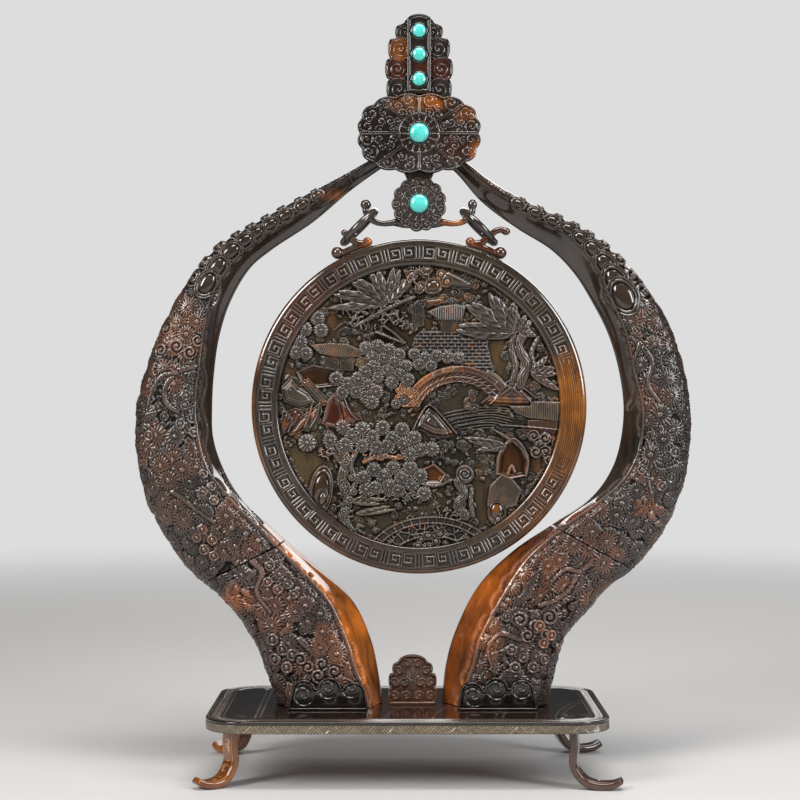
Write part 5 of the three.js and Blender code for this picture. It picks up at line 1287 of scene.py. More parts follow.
def rimmedCurl(u, v, size, hand=1):  # a lobe with its own rim, a crescent and a curl
    rho, angle = np.hypot(u, v) / size, np.arctan2(v, u)
    inner, _ = curl(u, v, size * 0.6, hand, 1.35)
    swell = -0.8 + 0.55 * np.sqrt(np.clip(1 - ((rho - 0.75) / 0.17) ** 2, 0, 1))
    height = np.where(rho < 0.58, inner, swell)
    height = np.maximum(height, -0.9 + 0.9 * ridge(rho - 0.94, 0.08))
    height = np.maximum(height, -0.9 + 0.75 * ridge(rho - 0.59, 0.06))
    return height, 1 - smooth(0.98, 1.05, rho)


# Crown

crownForm = {"middle": (4.0, 392.75), "medallion": (38.0, 24.5, 16, 1.6, 2.6), "front": -12.8, "back": -7.8, "ring": 12.1,
             "dividers": (0, 33, 90, 138, 180, 217, 270, 319), "petals": 16, "stone": 5.9,
             "curls": ((390, 121, 0, 1), (390, 145, 0, -1), (379, 130, 180, -1), (379, 139, 180, 1), (402, 113, 90, -1), (411, 111, 90, 1),
                       (429, 112, 90, -1), (438, 115, 90, 1), (451, 123, 0, -1), (459, 130, 0, 1), (455, 146, 0, 1), (450, 152, 0, -1),
                       (402, 157, 270, 1), (411, 159, 270, -1), (427, 159, 270, 1), (436, 157, 270, -1))}
plumeForm = {"front": -7.5, "back": -2.5, "foot": 7.6, "lobesFoot": 21.6, "lobesTop": 67.4, "top": 73.4, "bulge": 2.2, "cap": 9.5,
             "lobes": ((20.2, 0.28), (21.0, 0.55), (19.2, 0.82), (14.8, 1.0)), "curl": 6.6,
             "tints": {(-1, 2): {"amber": 0.4}, (-1, 1): {"red": 0.5}, (1, 1): {"red": 0.6}, (-1, 3): {"olive": 0.2}}}
stripForm = {"front": -9.8, "back": -7.8, "half": 7.5, "low": 24.8, "top": 73.8, "head": 4.1, "stones": (10.5, 25.0, 40.4), "radius": 4.1}
pendantForm = {"middle": (4.0, 349.95), "radius": 17.0, "lobes": 13, "depth": 1.3, "neckHalf": 9.3, "neckTop": 32.8, "neckFrom": 64,
               "stone": 5.7, "ring": 10.3, "petals": 14}


def carveMedallion():
    plate = roundPlate(lambda a: scalloped(a, *crownForm["medallion"]), crownForm["middle"], crownForm["front"], rows=78, columns=560)
    reach, angle = np.hypot(plate.x, plate.z), np.arctan2(plate.z, plate.x)
    plate.lay(-0.8 + 0.25 * np.cos(reach * 0.9))
    ring, dividers = crownForm["ring"], crownForm["dividers"]
    for k in range(16):
        a = (k + 0.5) * 2 * math.pi / 16
        ex, ez = scalloped(np.array([a]), *crownForm["medallion"])
        plate.stamp(ex[0] * 0.86, ez[0] * 0.83, 4.3, curl, turn=math.degrees(a) + 90, hand=1 if math.sin(2 * a) > 0 else -1, turns=1.35, level=0.0)
    for px, py, turn, hand in crownForm["curls"]:
        stamp(plate.relief, (px, py), 2.9, curl, turn=turn, hand=hand, turns=1.3, level=-0.02)
    dice, taken = np.random.default_rng(3), [fromFront(c[0], c[1], crownForm["front"]) for c in crownForm["curls"]]
    taken = [(x - crownForm["middle"][0], z - crownForm["middle"][1]) for x, z in taken]
    taken += [(0.85 * 38 * math.cos((k + 0.5) * math.pi / 8), 0.83 * 24.5 * math.sin((k + 0.5) * math.pi / 8)) for k in range(16)]
    free = np.nonzero((reach > ring + 2.6) & (plate.edge > 3.0))[0]
    for k in dice.choice(free, 3000, replace=False):
        x, z = plate.x[k], plate.z[k]
        bearing = math.degrees(math.atan2(z, x)) % 360
        crowd = min(math.hypot(x - a, z - b) for a, b in taken)
        line = min(abs(math.hypot(x, z) * math.sin(math.radians(bearing - d))) for d in dividers)
        if crowd > 4.7 and line > 2.6:
            taken.append((x, z))
            plate.stamp(x, z, 2.5, curl, turn=dice.uniform(0, 360), hand=int(dice.choice([-1, 1])), turns=1.25, level=-0.1)
    for turn in dividers:
        away = reach * np.sin(angle - math.radians(turn))
        ahead = (np.cos(angle - math.radians(turn)) > 0) & (reach > ring)
        plate.lay(-0.05 - 0.7 * ridge(away, 0.4), ahead * smooth(1.05, 0.75, np.abs(away)))
    plate.border(0.7, 0.35, 0.4)
    inside = smooth(ring + 0.1, ring - 0.1, reach)
    plate.lay(-0.75 + 0.5 * np.abs(np.sin(crownForm["petals"] / 2 * angle)) ** 0.35 - 0.2 * ridge(reach - 9, 1.6), inside)
    plate.lay(0.0, ridge(reach - ring, 0.75) ** 0.4)
    plate.seat(0, 0, crownForm["stone"])
    relief = plate.relief
    tint(relief, 405, 103, (26, 12), 0.9, amber=0.35, olive=0.55)
    tint(relief, 433, 102, (24, 12), 0.9, amber=0.65)
    tint(relief, 374, 118, (30, 26), 0.9, polish=1.0)
    tint(relief, 466, 114, (18, 14), 0.8, amber=0.55)
    tint(relief, 478, 152, (12, 16), 0.9, amber=0.9)
    tint(relief, 462, 148, (34, 22), 0.6, red=0.4)
    tint(relief, 420, 165, (60, 18), 0.6, grey=0.6)
    tint(relief, 464, 130, (26, 18), 0.5, grey=0.5)
    plate.make("medallion_carved", crownForm["back"], hornDark, "horn_ivory", "crown_medallion")


def carvePlume():
    form, crown = plumeForm, crownForm["middle"][1]
    side = lobedSide(form["lobes"], form["lobesFoot"], form["lobesTop"], form["bulge"], form["cap"], form["top"])
    side = np.vstack([[(14.0, form["foot"]), (14.0, form["lobesFoot"] - 0.3)], side])
    plate = sidePlate(side, crownForm["middle"], form["front"], rows=240, columns=150)
    plate.lay(-0.7 + 0.2 * np.cos(plate.z * 1.3))
    heads = [form["lobesFoot"] + share * (form["lobesTop"] - form["lobesFoot"]) for _, share in form["lobes"]]
    feet = [form["lobesFoot"]] + heads[:-1]
    for k in (3, 2, 1, 0):
        for sign in (-1, 1):
            size = form["curl"] * (0.95 if k == 3 else 1.1)
            x, z = sign * (form["lobes"][k][0] - size - 0.2), (feet[k] + heads[k]) / 2 - 0.4
            marks = form["tints"].get((sign, k), {"grey": 0.25})
            plate.stamp(x, z, size, rimmedCurl, turn=90 - sign * 40, hand=-sign, level=-0.05, marks=marks)
    plate.border(0.5, 0.3, 0.3)
    plate.make("plume_carved", form["back"], hornDark, "horn_ivory", "crown_plume", times=4)

    form = stripForm
    a = np.linspace(0, np.pi / 2 - 0.04, 14)
    side = np.stack([form["half"] * np.cos(a), form["top"] - form["head"] * (1 - np.sin(a))], axis=-1)
    plate = sidePlate(np.vstack([[(form["half"], form["low"])], side]), crownForm["middle"], form["front"], rows=200, columns=64)
    plate.lay(-0.55)
    for near, wide, level in ((0.55, 0.5, 0.0), (1.9, 0.4, -0.1)):
        plate.lay(level, ridge(plate.edge - near, wide) ** 0.5 * (plate.z > form["low"] + 1.2))
    for drop in form["stones"]:
        plate.seat(0, form["top"] - drop, form["radius"])
    tint(plate.relief, 422, 68, (12, 9), 0.9, red=0.75)
    tint(plate.relief, 422, 92, (12, 7), 0.7, olive=0.4)
    plate.make("plume_strip_carved", form["back"], hornDark, "horn_brown", "plume_strip")


def carvePendant():
    form = pendantForm

    def outline(a):
        x, z = scalloped(a, form["radius"], form["radius"], form["lobes"], form["depth"])
        c, s = np.cos(a), np.sin(a)
        neck = np.minimum(form["neckHalf"] / np.maximum(np.abs(c), 1e-3), form["neckTop"] / np.maximum(s, 1e-3))
        onNeck = (s > math.sin(math.radians(form["neckFrom"])))
        reach = np.where(onNeck, neck, np.hypot(x, z))
        return reach * c, reach * s

    plate = roundPlate(outline, form["middle"], plumeForm["front"], rows=70, columns=480)
    reach, angle = np.hypot(plate.x, plate.z), np.arctan2(plate.z, plate.x)
    plate.lay(-0.75)
    for k in range(form["lobes"]):
        a = (k + 0.5) * 2 * math.pi / form["lobes"]
        plate.stamp(13.5 * math.cos(a), 13.5 * math.sin(a), 3.1, curl, turn=math.degrees(a) + 60, hand=-1, turns=1.4, level=0.0)
    plate.border(0.5, 0.3, 0.35)
    wavy = form["ring"] + 0.4 * np.abs(np.sin(form["petals"] / 2 * angle))
    inside = smooth(wavy + 0.1, wavy - 0.1, reach)
    plate.lay(-0.7 + 0.5 * np.abs(np.sin(form["petals"] / 2 * angle)) ** 0.35, inside)
    plate.lay(-0.05, ridge(reach - wavy, 0.65) ** 0.5)
    plate.seat(0, 0, form["stone"])
    plate.relief.marks["grey"][:] = 0.45
    tint(plate.relief, 419, 180, (20, 12), 0.7, olive=0.6)
    plate.make("pendant_carved", plumeForm["back"], hornIvory, "horn_ivory", "pendant_rosette")


carveMedallion()
carvePlume()
carvePendant()
print("crown carved")


# Clouds at the arms' feet, and the one that stands between them

plaqueForm = {"width": 48.5, "height": 19.6, "heads": ((0.32, 0.86), (0.02, 1.0), (-0.3, 0.93)), "half": 0.15, "tall": 0.34,
              "front": -28.8, "back": -24.8, "curl": 5.7,
              "left": {"middle": -51.45, "sign": 1, "curls": ((303, 696), (327, 689), (350, 688))},
              "right": {"middle": 51.45, "sign": -1, "curls": ((474, 697), (496, 690), (521, 689))}}
cloudForm = {"middle": (0.0, 41.6), "front": -8.5, "back": -3.5, "half": 15.2, "height": 30.3, "bulge": 1.6,
             "tiers": ((15.2, 0.34), (14.9, 0.62), (12.6, 0.82)), "cap": 9.2}


def carvePlaque(side):
    form, own = plaqueForm, plaqueForm[side]
    top = [(-0.5, 0.02)]
    for middle, head in sorted(form["heads"]):
        for a in np.linspace(np.pi * 0.96, np.pi * 0.04, 14):
            top.append((middle + form["half"] * math.cos(a), head - form["tall"] * (1 - math.sin(a))))
    top = np.array(top + [(0.5, 0.02)]) * (form["width"], form["height"])
    top[:, 0] *= own["sign"]
    top = top[::own["sign"]]
    x = np.linspace(top[0, 0], top[-1, 0], 241)
    high = np.stack([x, np.interp(x, top[:, 0], top[:, 1])], axis=-1)
    low = high * (1, 0)
    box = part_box(f"foot_plaque_{side}")
    middle = ((box[0][0] + box[1][0]) / 2 / mm, box[0][2] / mm)
    plate = Plate(low, high, 90, middle, form["front"])
    lump = 0.35 * np.sin(plate.x * 0.42 * own["sign"] + 1) * np.sin(plate.z * 0.5)
    plate.lay(-0.75 + lump)
    for px, py in own["curls"]:
        stamp(plate.relief, (px, py), form["curl"] * 1.12, curl, hand=1, turns=1.3, level=-0.02, turn=150, line=-0.15)
    plate.border(0.9, 0.5, 0.5)
    plate.relief.height -= 0.2 * ridge(plate.z - 1.6, 0.4)
    plate.relief.marks["crest"] = smooth(1.6, 0.4, plate.z) * 0.8
    plate.make(f"foot_plaque_{side}_carved", form["back"], hornDark, "horn_dark", f"foot_plaque_{side}", times=5)


def carveCloud():
    form = cloudForm
    side = lobedSide(form["tiers"], 0.0, form["height"], form["bulge"], form["cap"], form["height"])
    plate = sidePlate(side, form["middle"], form["front"], rows=180, columns=170)
    plate.lay(-0.85)
    for a in (-50, -25, 0, 25, 50):
        plate.stamp(0, 14, 3.2, leaf, turn=90 + a, long=2.7 - abs(a) / 50, level=-0.2, veins=5.0)
    for z, size, spots in ((5.2, 3.5, (-11.0, -3.7, 3.7, 11.0)), (13.2, 3.4, (-10.9, -5.2, 5.2, 10.9)), (20.8, 3.3, (-8.6, 8.6)), (25.2, 3.0, (-3.3, 3.3))):
        for x in spots:
            plate.stamp(x, z, size, curl, hand=1 if x < 0 else -1, turn=60 if x < 0 else 120, turns=1.4, level=-0.05, line=0.3)
    plate.border(0.7, 0.35, 0.45)
    plate.relief.height = np.where(plate.z < 1.5, -0.1, plate.relief.height)
    plate.relief.marks["amber"][:] = 0.12
    plate.relief.marks["grey"][:] = 0.2
    plate.make("centre_cloud_carved", form["back"], hornBrown, "horn_brown", "centre_cloud", times=3)


carvePlaque("left")
carvePlaque("right")
carveCloud()
print("clouds carved")


# Platform: a border and a field of horn over a wooden board, and a hatched band round its edge

platformForm = {"middle": -3.3, "width": 240.0, "depth": 140.0, "corner": 24.0, "top": 41.3, "under": 39.8, "steps": 1800,
                "border": 12.0, "lines": (1.5, 3.6, 8.4, 10.6), "dots": (4.2, 5.4), "dotPitch": 3,
                "band": (34.3, 39.5, 2.0), "hatch": 1.9, "group": 12.0, "seams": ((254, 0.0), (259, 0.0), (384, 0.2), (433, 0.16),
                                                                                  (496, 0.14), (503, 0.14), (556, 0.16), (563, 0.16))}


def roundedPath(steps, form):  # even steps round the platform's edge: place, outward direction, distance
    sx, sy, r = form["width"] / 2 - form["corner"], form["depth"] / 2 - form["corner"], form["corner"]
    place, out = [], []
    for k in range(4):
        for a in np.linspace(0, np.pi / 2, 40) + k * np.pi / 2:
            cx, cy = ((sx, sy), (-sx, sy), (-sx, -sy), (sx, -sy))[k]
            place.append((cx + r * math.cos(a), cy + r * math.sin(a)))
            out.append((math.cos(a), math.sin(a)))
    place, out = np.array(place + place[:1]), np.array(out + out[:1])
    far = np.concatenate([[0], np.cumsum(np.linalg.norm(np.diff(place, axis=0), axis=1))])
    s = np.linspace(0, far[-1], steps + 1)
    where = np.stack([np.interp(s, far, place[:, i]) for i in (0, 1)], axis=-1)
    way = unit(np.stack([np.interp(s, far, out[:, i]) for i in (0, 1)], axis=-1))
    return where, way, s


def ringPiece(name, profile, carve, material, slot, node):  # profile is inset, height, and which way each point faces
    where, way, s = roundedPath(platformForm["steps"], platformForm)
    inset, z, outward = (np.array([p[i] for p in profile] + [profile[0][i]]) for i in range(3))
    xy = where[:, None, :] - inset[None, :, None] * way[:, None, :]
    points = np.concatenate([xy, np.broadcast_to(z[None, :, None], xy.shape[:2] + (1,))], axis=-1)
    points[..., 0] += platformForm["middle"]
    normals = np.concatenate([way[:, None, :] * outward[None, :, None], np.broadcast_to((1 - outward)[None, :, None], xy.shape[:2] + (1,))], axis=-1)
    relief = newRelief(points, normals)
    grid = np.broadcast_to
    carve(relief, grid(s[:, None], xy.shape[:2]).ravel(), grid(inset[None, :], xy.shape[:2]).ravel(), grid(z[None, :], xy.shape[:2]).ravel())
    relief.height.reshape(relief.shape)[-1] = relief.height.reshape(relief.shape)[0]
    relief.marks["crest"] = smooth(-0.05, -0.25, relief.height)
    relief.marks["polish"][:] = 0.7
    shaped = points + (relief.normals * relief.height[:, None]).reshape(points.shape)
    mesh = gridMesh(name, shaped, relief.marks)
    closeRing(mesh, points.shape[0], points.shape[1])
    place(name, mesh, material, "frame", slot, node)


def carveBorder(relief, s, inset, z):
    onTop = z > platformForm["top"] - 0.05
    height = np.zeros(len(s))
    for line in platformForm["lines"]:
        height -= 0.3 * ridge(inset - line, 0.45)
    low, high = platformForm["dots"]
    dot = np.mod(np.round(s / s.max() * platformForm["steps"]), platformForm["dotPitch"]) == 0
    height -= 0.35 * dot * ((inset > low) & (inset < high))
    net = ridge(np.mod(s + inset * 0.9, 2.4) - 1.2, 0.5) + ridge(np.mod(s - inset * 0.9, 2.4) - 1.2, 0.5)
    height -= 0.25 * np.clip(net, 0, 1) * ((inset > 4.0) & (inset < 8.0))
    relief.height = np.where(onTop, height, 0.0)


def carveBand(relief, s, inset, z):
    low, high, _ = platformForm["band"]
    rise, along = (z - low) / (high - low), s / platformForm["group"]
    group, share = np.floor(along * 2), np.mod(along * 2, 1)
    lean = np.where(np.mod(group, 2) < 1, 1, -1)
    up = np.where(lean > 0, rise, 1 - rise)
    mine = np.where(share < up, lean, -lean)
    hatch = np.cos(2 * np.pi * (s + mine * (z - low) * 1.0) / platformForm["hatch"])
    outer = inset < 0.05
    height = -0.35 * smooth(-0.3, 0.6, hatch) - 0.2 * ridge(share - up, 0.06)
    height = np.where((rise > 0.94) | (rise < 0.06), 0.0, height)
    relief.height = np.where(outer, height, 0.0)
    relief.marks["olive"] = 0.3 + 0.2 * np.sin(s * 0.03)


def fieldPiece():
    form = platformForm
    r, reach = form["corner"] - form["border"], form["depth"] / 2 - form["border"]
    y = np.linspace(-reach, reach, 110)
    half = form["width"] / 2 - form["corner"] + np.sqrt(np.clip(r ** 2 - np.maximum(np.abs(y) - reach + r, 0) ** 2, 0, None))
    share = np.linspace(-1, 1, 230)
    points = np.stack([half[:, None] * share[None, :] + form["middle"], np.repeat(y[:, None], 230, 1), np.full((110, 230), form["top"])], axis=-1)
    relief = newRelief(points, np.broadcast_to(np.array([0.0, 0.0, 1.0]), points.shape))
    x, depth = relief.points[:, 0], relief.points[:, 1]
    height = np.zeros(len(x))
    for px, bend in form["seams"]:
        line = fromFront(px, 715, -60)[0] + bend * (depth + 60) * 1.6 + bend * np.sin(depth * 0.05) * 20
        height -= 0.25 * ridge(x - line, 0.5)
    for cx, cy, size in ((-103, -48, 5.0), (-93, -50, 4.2), (-86, -46, 3.4), (92, -48, 4.6), (102, -44, 3.6)):
        rho, angle = np.hypot(x - cx, depth - cy) / size, np.arctan2(depth - cy, x - cx)
        height -= 0.25 * (rho < 1) * smooth(0.5, 1.0, np.cos(2 * np.pi * (rho * 2 - angle / 2 / np.pi)))
    relief.height = height
    relief.marks["crest"] = smooth(-0.05, -0.22, height) * 0.7
    relief.marks["polish"][:] = 1.0
    relief.marks["red"] = 0.35 * smooth(60, 20, np.abs(x)) + 0.0 * x
    plateFrom("platform_field", relief, points, (0, None), form["under"], hornLined, "frame", "horn_dark", "platform_top", axis=2)


topLine = [(d, platformForm["top"], 0.0) for d in np.arange(0.6, platformForm["border"] - 0.1, 0.42)]
ringPiece("platform_border", [(0.0, platformForm["under"], 1.0), (0.0, 40.9, 1.0), (0.2, 41.2, 0.5)] + topLine
          + [(platformForm["border"] - 0.05, platformForm["top"], 0.0), (platformForm["border"] - 0.05, platformForm["under"], 0.0)],
          carveBorder, hornLined, "horn_dark", "platform_top")
bandLow, bandHigh, bandThick = platformForm["band"]
ringPiece("platform_band_hatched", [(0.0, z, 1.0) for z in np.linspace(bandLow + 0.2, bandHigh - 0.2, 15)]
          + [(0.25, bandHigh, 0.0), (bandThick, bandHigh, 0.0), (bandThick, bandLow, 0.0), (0.25, bandLow, 0.0)],
          carveBand, hornBand, "horn_olive", "platform_edge_band")
fieldPiece()
print("platform made")


# Legs: flat strips that bend out into upturned toes

legForm = {"top": 34.0, "width": 13.0, "thick": 5.0, "bow": 0.6, "bendTop": 15.0, "toeStart": 0.75, "narrow": 0.35, "thin": 0.25,
           "bend": ((0.07, 7.4), (0.24, 2.0), (0.5, -0.1), (0.8, 0.6), (1.0, 3.4)),
           "left": {"x": -108.2, "y": 47.0, "reach": 24.0, "turn": 35.0}, "right": {"x": 94.9, "y": 55.0, "reach": 29.0, "turn": 12.0}}


def legPiece(side, row):
    own, sign, rear = legForm[side], -1 if side == "left" else 1, -1 if row == "front" else 1
    half = legForm["thick"] / 2
    path = [(0, 0, legForm["top"]), (legForm["bow"], 0, (legForm["top"] + legForm["bendTop"]) / 2), (0, 0, legForm["bendTop"])]
    path += [(out * own["reach"], 0, half + up) for out, up in legForm["bend"]]
    share = np.linspace(0, 1, 130)
    centre = splineAt(path, share)
    along = unit(np.gradient(centre, axis=0))
    outward = np.stack([-along[:, 2], 0 * share, along[:, 0]], axis=-1)
    taper = np.maximum(0, (share - legForm["toeStart"]) / (1 - legForm["toeStart"]))
    closing = np.sqrt(np.clip((1 - share) / 0.02, 0.02, 1))
    a = np.linspace(0, 2 * np.pi, 73)
    w = np.sign(np.cos(a)) * np.abs(np.cos(a)) ** 0.4
    t = np.sign(np.sin(a)) * np.abs(np.sin(a)) ** 0.5
    wide = (legForm["width"] / 2 * (1 - legForm["narrow"] * taper) * closing)[:, None] * w
    thick = (half * (1 - legForm["thin"] * taper) * closing)[:, None] * t
    local_ = centre[:, None, :] + outward[:, None, :] * thick[..., None]
    local_[..., 1] = wide
    angle = math.atan2(rear * math.sin(math.radians(own["turn"])), sign * math.cos(math.radians(own["turn"])))
    c, s = math.cos(angle), math.sin(angle)
    points = np.stack([own["x"] + c * local_[..., 0] - s * local_[..., 1], rear * own["y"] + s * local_[..., 0] + c * local_[..., 1],
                       np.maximum(local_[..., 2], 0.0)], axis=-1)
    relief = newRelief(points, surfaceNormals(points[:, :-1], True)[:, list(range(72)) + [0]])
    face = np.broadcast_to((t > 0.5)[None, :], wide.shape).ravel()
    w, s = wide.ravel(), np.broadcast_to(share[:, None], wide.shape).ravel()
    run = s * 62
    line = ridge(np.abs(w) - 5.2 * (1 - 0.35 * np.repeat(taper, 73)), 0.35)
    for at, size, hand, shift in ((9, 3.0, 1, 1.2), (27, 4.4, -1, -0.4), (45, 3.4, 1, 0.6), (56, 2.2, -1, 0)):
        rho, turn = np.hypot(run - at, w - shift) / size, np.arctan2(w - shift, run - at)
        line = np.maximum(line, (rho < 1.05) * smooth(0.6, 1.0, np.cos(2 * np.pi * (rho * 1.6 - hand * turn / 2 / np.pi))))
    line = np.maximum(line, ridge(w - 2.6 * np.sin(run * 0.17), 0.35) * (run < 46))
    relief.height = -0.3 * line * face
    relief.marks["crest"] = line * face * 0.9
    relief.marks["polish"][:] = 0.8
    relief.marks["red"] = (0.75 if side == "left" else 0.2) * np.clip(t[None, :] * np.ones(wide.shape), 0, 1).ravel() * smooth(0.0, 0.4, s) * smooth(0.7, 0.4, s) + 0 * s
    relief.marks["grey"] = (0.0 if side == "left" else 0.35) * np.ones(len(s))
    shaped = points + (relief.normals * relief.height[:, None]).reshape(points.shape)
    mesh = gridMesh(f"leg_{row}_{side}_engraved", shaped, relief.marks)
    closeTube(mesh, 73)
    place(mesh.name, mesh, hornAmber if side == "left" else hornBrown, "frame", "horn_amber" if side == "left" else "horn_brown", f"leg_{row}_{side}")


for legSide in ("left", "right"):
    for legRow in ("front", "rear"):
        legPiece(legSide, legRow)
print("legs made")


# Stones and hanging pieces

stoneForm = {"crown": ("cabochon_crown", 5.9), "pendant": ("cabochon_pendant", 5.7), "top": ("cabochon_plume_top", 4.1),
             "middle": ("cabochon_plume_middle", 4.1), "low": ("cabochon_plume_low", 4.1), "girdle": 1.6, "dome": 0.42}


def stonePiece(name, node, radius):  # a domed stone, spun round its own axis
    low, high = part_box(node)
    wall = stoneForm["girdle"]
    profile = [(0, 0), (radius - 0.2, 0), (radius, 0.2), (radius, wall)]
    profile += [(radius * math.cos(a), wall + radius * stoneForm["dome"] * math.sin(a)) for a in np.linspace(0.12, np.pi / 2 - 0.04, 12)]
    profile.append((0, wall + radius * stoneForm["dome"]))
    bm = bmesh.new()
    verts = [bm.verts.new((r * mm, -h * mm, 0)) for r, h in profile]
    edges = [bm.edges.new(pair) for pair in zip(verts, verts[1:])]
    bmesh.ops.spin(bm, geom=verts + edges, cent=(0, 0, 0), axis=(0, 1, 0), angle=math.radians(360), steps=56, use_merge=True)
    bmesh.ops.remove_doubles(bm, verts=bm.verts, dist=1e-6)
    bmesh.ops.recalc_face_normals(bm, faces=bm.faces)
    bmesh.ops.translate(bm, verts=bm.verts, vec=((low[0] + high[0]) / 2, high[1], (low[2] + high[2]) / 2))
    mesh = bpy.data.meshes.new(name)
    bm.to_mesh(mesh)
    bm.free()
    place(name, mesh, turquoise, "frame", "turquoise", node)


for stoneName in ("crown", "pendant", "top", "middle", "low"):
    stonePiece(f"stone_{stoneName}", *stoneForm[stoneName])


def barMesh(bm, path, radii, squash=1.0, columns=20):  # a round bar along a path, thicker or thinner along it
    share = np.linspace(0, 1, 12 * len(path))
    centre = splineAt([(x, 0, z) for x, z in path], share)
    along = unit(np.gradient(centre, axis=0))
    side = np.stack([along[:, 2], 0 * share, -along[:, 0]], axis=-1)
    radius = np.interp(share, np.linspace(0, 1, len(radii)), radii)[:, None]
    a = np.linspace(0, 2 * np.pi, columns, endpoint=False)
    rings = centre[:, None, :] + side[:, None, :] * (radius * np.cos(a))[..., None]
    rings[..., 1] += radius * np.sin(a) * squash
    previous = None
    for ring in rings * mm:
        verts = [bm.verts.new(p) for p in ring]
        loop = [bm.edges.new((verts[k], verts[(k + 1) % columns])) for k in range(columns)]
        if previous:
            bmesh.ops.bridge_loops(bm, edges=previous + loop)
        else:
            bmesh.ops.holes_fill(bm, edges=loop, sides=0)
        previous = loop
    bmesh.ops.holes_fill(bm, edges=previous, sides=0)


def knob(bm, x, z, radius, squash=(1.0, 1.0, 1.0)):
    made = bmesh.ops.create_uvsphere(bm, u_segments=24, v_segments=16, radius=radius * mm)["verts"]
    bmesh.ops.scale(bm, verts=made, vec=squash)
    bmesh.ops.translate(bm, verts=made, vec=(x * mm, 0, z * mm))


def fusedPiece(name, bm, material, slot, node, body, tintFor=None, voxel=0.34, mirrored=False):
    if mirrored:  # drawn on the right of the hang line and turned over to the left
        bmesh.ops.scale(bm, verts=bm.verts, vec=(-1, 1, 1))
    bmesh.ops.translate(bm, verts=bm.verts, vec=(hangLine * mm, 0, 0))
    bmesh.ops.recalc_face_normals(bm, faces=bm.faces)
    rough = bpy.data.meshes.new(name + "_rough")
    bm.to_mesh(rough)
    bm.free()
    thing = bpy.data.objects.new(name + "_rough", rough)
    bpy.context.scene.collection.objects.link(thing)
    remesh = thing.modifiers.new("fuse", "REMESH")
    remesh.mode, remesh.voxel_size = "VOXEL", voxel * mm
    soften = thing.modifiers.new("soften", "SMOOTH")
    soften.factor, soften.iterations = 0.5, 8
    mesh = bpy.data.meshes.new_from_object(thing.evaluated_get(bpy.context.evaluated_depsgraph_get()))
    mesh.name = name
    bpy.data.objects.remove(thing)
    spots = np.empty(len(mesh.vertices) * 3)
    mesh.vertices.foreach_get("co", spots)
    x, z = spots[0::3] / mm, spots[2::3] / mm
    marks = {"polish": np.full(len(x), 0.9), **(tintFor(x, z) if tintFor else {})}
    for mark, values in marks.items():
        mesh.attributes.new(mark, "FLOAT", "POINT").data.foreach_set("value", np.clip(values, 0, 1).astype(np.float32))
    place(name, mesh, material, body, slot, node)


yokeForm = {"height": 342.55, "reach": 30.7, "radius": 2.2, "tip": 3.4, "bar": ((0.0, 3.0), (14.0, 3.4)),
            "hook": ((-8.5, 4.2), (-3.2, 2.9), (0.0, 0.0), (2.3, -3.4), (2.2, -7.6))}


def yokePiece():
    form, bm = yokeForm, bmesh.new()
    half = [(x, form["height"] - drop) for x, drop in form["bar"]]
    half += [(form["reach"] + x, form["height"] - drop) for x, drop in form["hook"]]
    path = [(-x, z) for x, z in half[:0:-1]] + half
    thin = form["radius"]
    barMesh(bm, path, [thin * k for k in (0.75, 0.95, 1, 0.9, 0.8, 1, 1.2, 1, 0.8, 0.9, 1, 0.95, 0.75)])
    barMesh(bm, [(-22, form["height"] - 3.6), (-10, form["height"] - 3.4), (0, form["height"] - 3.2), (10, form["height"] - 3.4), (22, form["height"] - 3.6)],
            [0.8, 3.6, 4.2, 3.6, 0.8], squash=0.55)
    knob(bm, *path[0], form["tip"], (1.0, 0.8, 0.95))
    knob(bm, path[-1][0] + 0.3, path[-1][1], form["tip"], (0.85, 0.75, 1.0))
    fusedPiece("yoke_smooth", bm, hornIvory, "horn_brown", "yoke", "frame",
               lambda x, z: {"amber": smooth(16, 20, x) * smooth(34, 28, x), "grey": smooth(0, -10, x) * 0.2 + smooth(30, 34, x) * 0.7})


ringForm = {"x": 37.0, "z": 336.25, "radius": 13.7, "wire": 2.25}


def ringPieceRound(side, sign):
    bm = bmesh.new()
    made = bmesh.ops.create_circle(bm, cap_ends=False, segments=20, radius=ringForm["wire"] * mm, matrix=Matrix.Translation((ringForm["radius"] * mm, 0, 0)))
    bmesh.ops.rotate(bm, verts=made["verts"], cent=(ringForm["radius"] * mm, 0, 0), matrix=Matrix.Rotation(math.radians(90), 3, "X"))
    bmesh.ops.spin(bm, geom=bm.verts[:] + bm.edges[:], cent=(0, 0, 0), axis=(0, 0, 1), angle=math.radians(360), steps=64, use_merge=True)
    bmesh.ops.remove_doubles(bm, verts=bm.verts, dist=1e-6)
    bmesh.ops.rotate(bm, verts=bm.verts, cent=(0, 0, 0), matrix=Matrix.Rotation(math.radians(45 * sign), 3, "Y"))
    bmesh.ops.translate(bm, verts=bm.verts, vec=((hangLine + sign * ringForm["x"]) * mm, 0, ringForm["z"] * mm))
    bmesh.ops.recalc_face_normals(bm, faces=bm.faces)
    mesh = bpy.data.meshes.new(f"{side}_ring_smooth")
    bm.to_mesh(mesh)
    bm.free()
    layer = mesh.attributes.new("polish", "FLOAT", "POINT")
    layer.data.foreach_set("value", np.full(len(mesh.vertices), 0.9, np.float32))
    place(mesh.name, mesh, hornIvory, f"ring_{side}", "horn_ivory", f"{side}_ring")


lugForm = {"reach": 43.29, "rise": 104.91, "rim": 103.8, "radius": 2.2, "body": (-12.3, -6.0, 0.0, 6.7),
           "neck": ((-10.3, -4.2), (-5.0, -3.6), (0.0, 0.0)), "outer": (7.2, 3.9), "inner": (-11.5, 3.0),
           "left": {"end": ((2.6, 2.6),), "tip": 2.5, "mirrored": True}, "right": {"end": ((3.6, 3.3), (7.4, 4.6), (10.6, 3.6)), "tip": 2.8, "mirrored": False}}


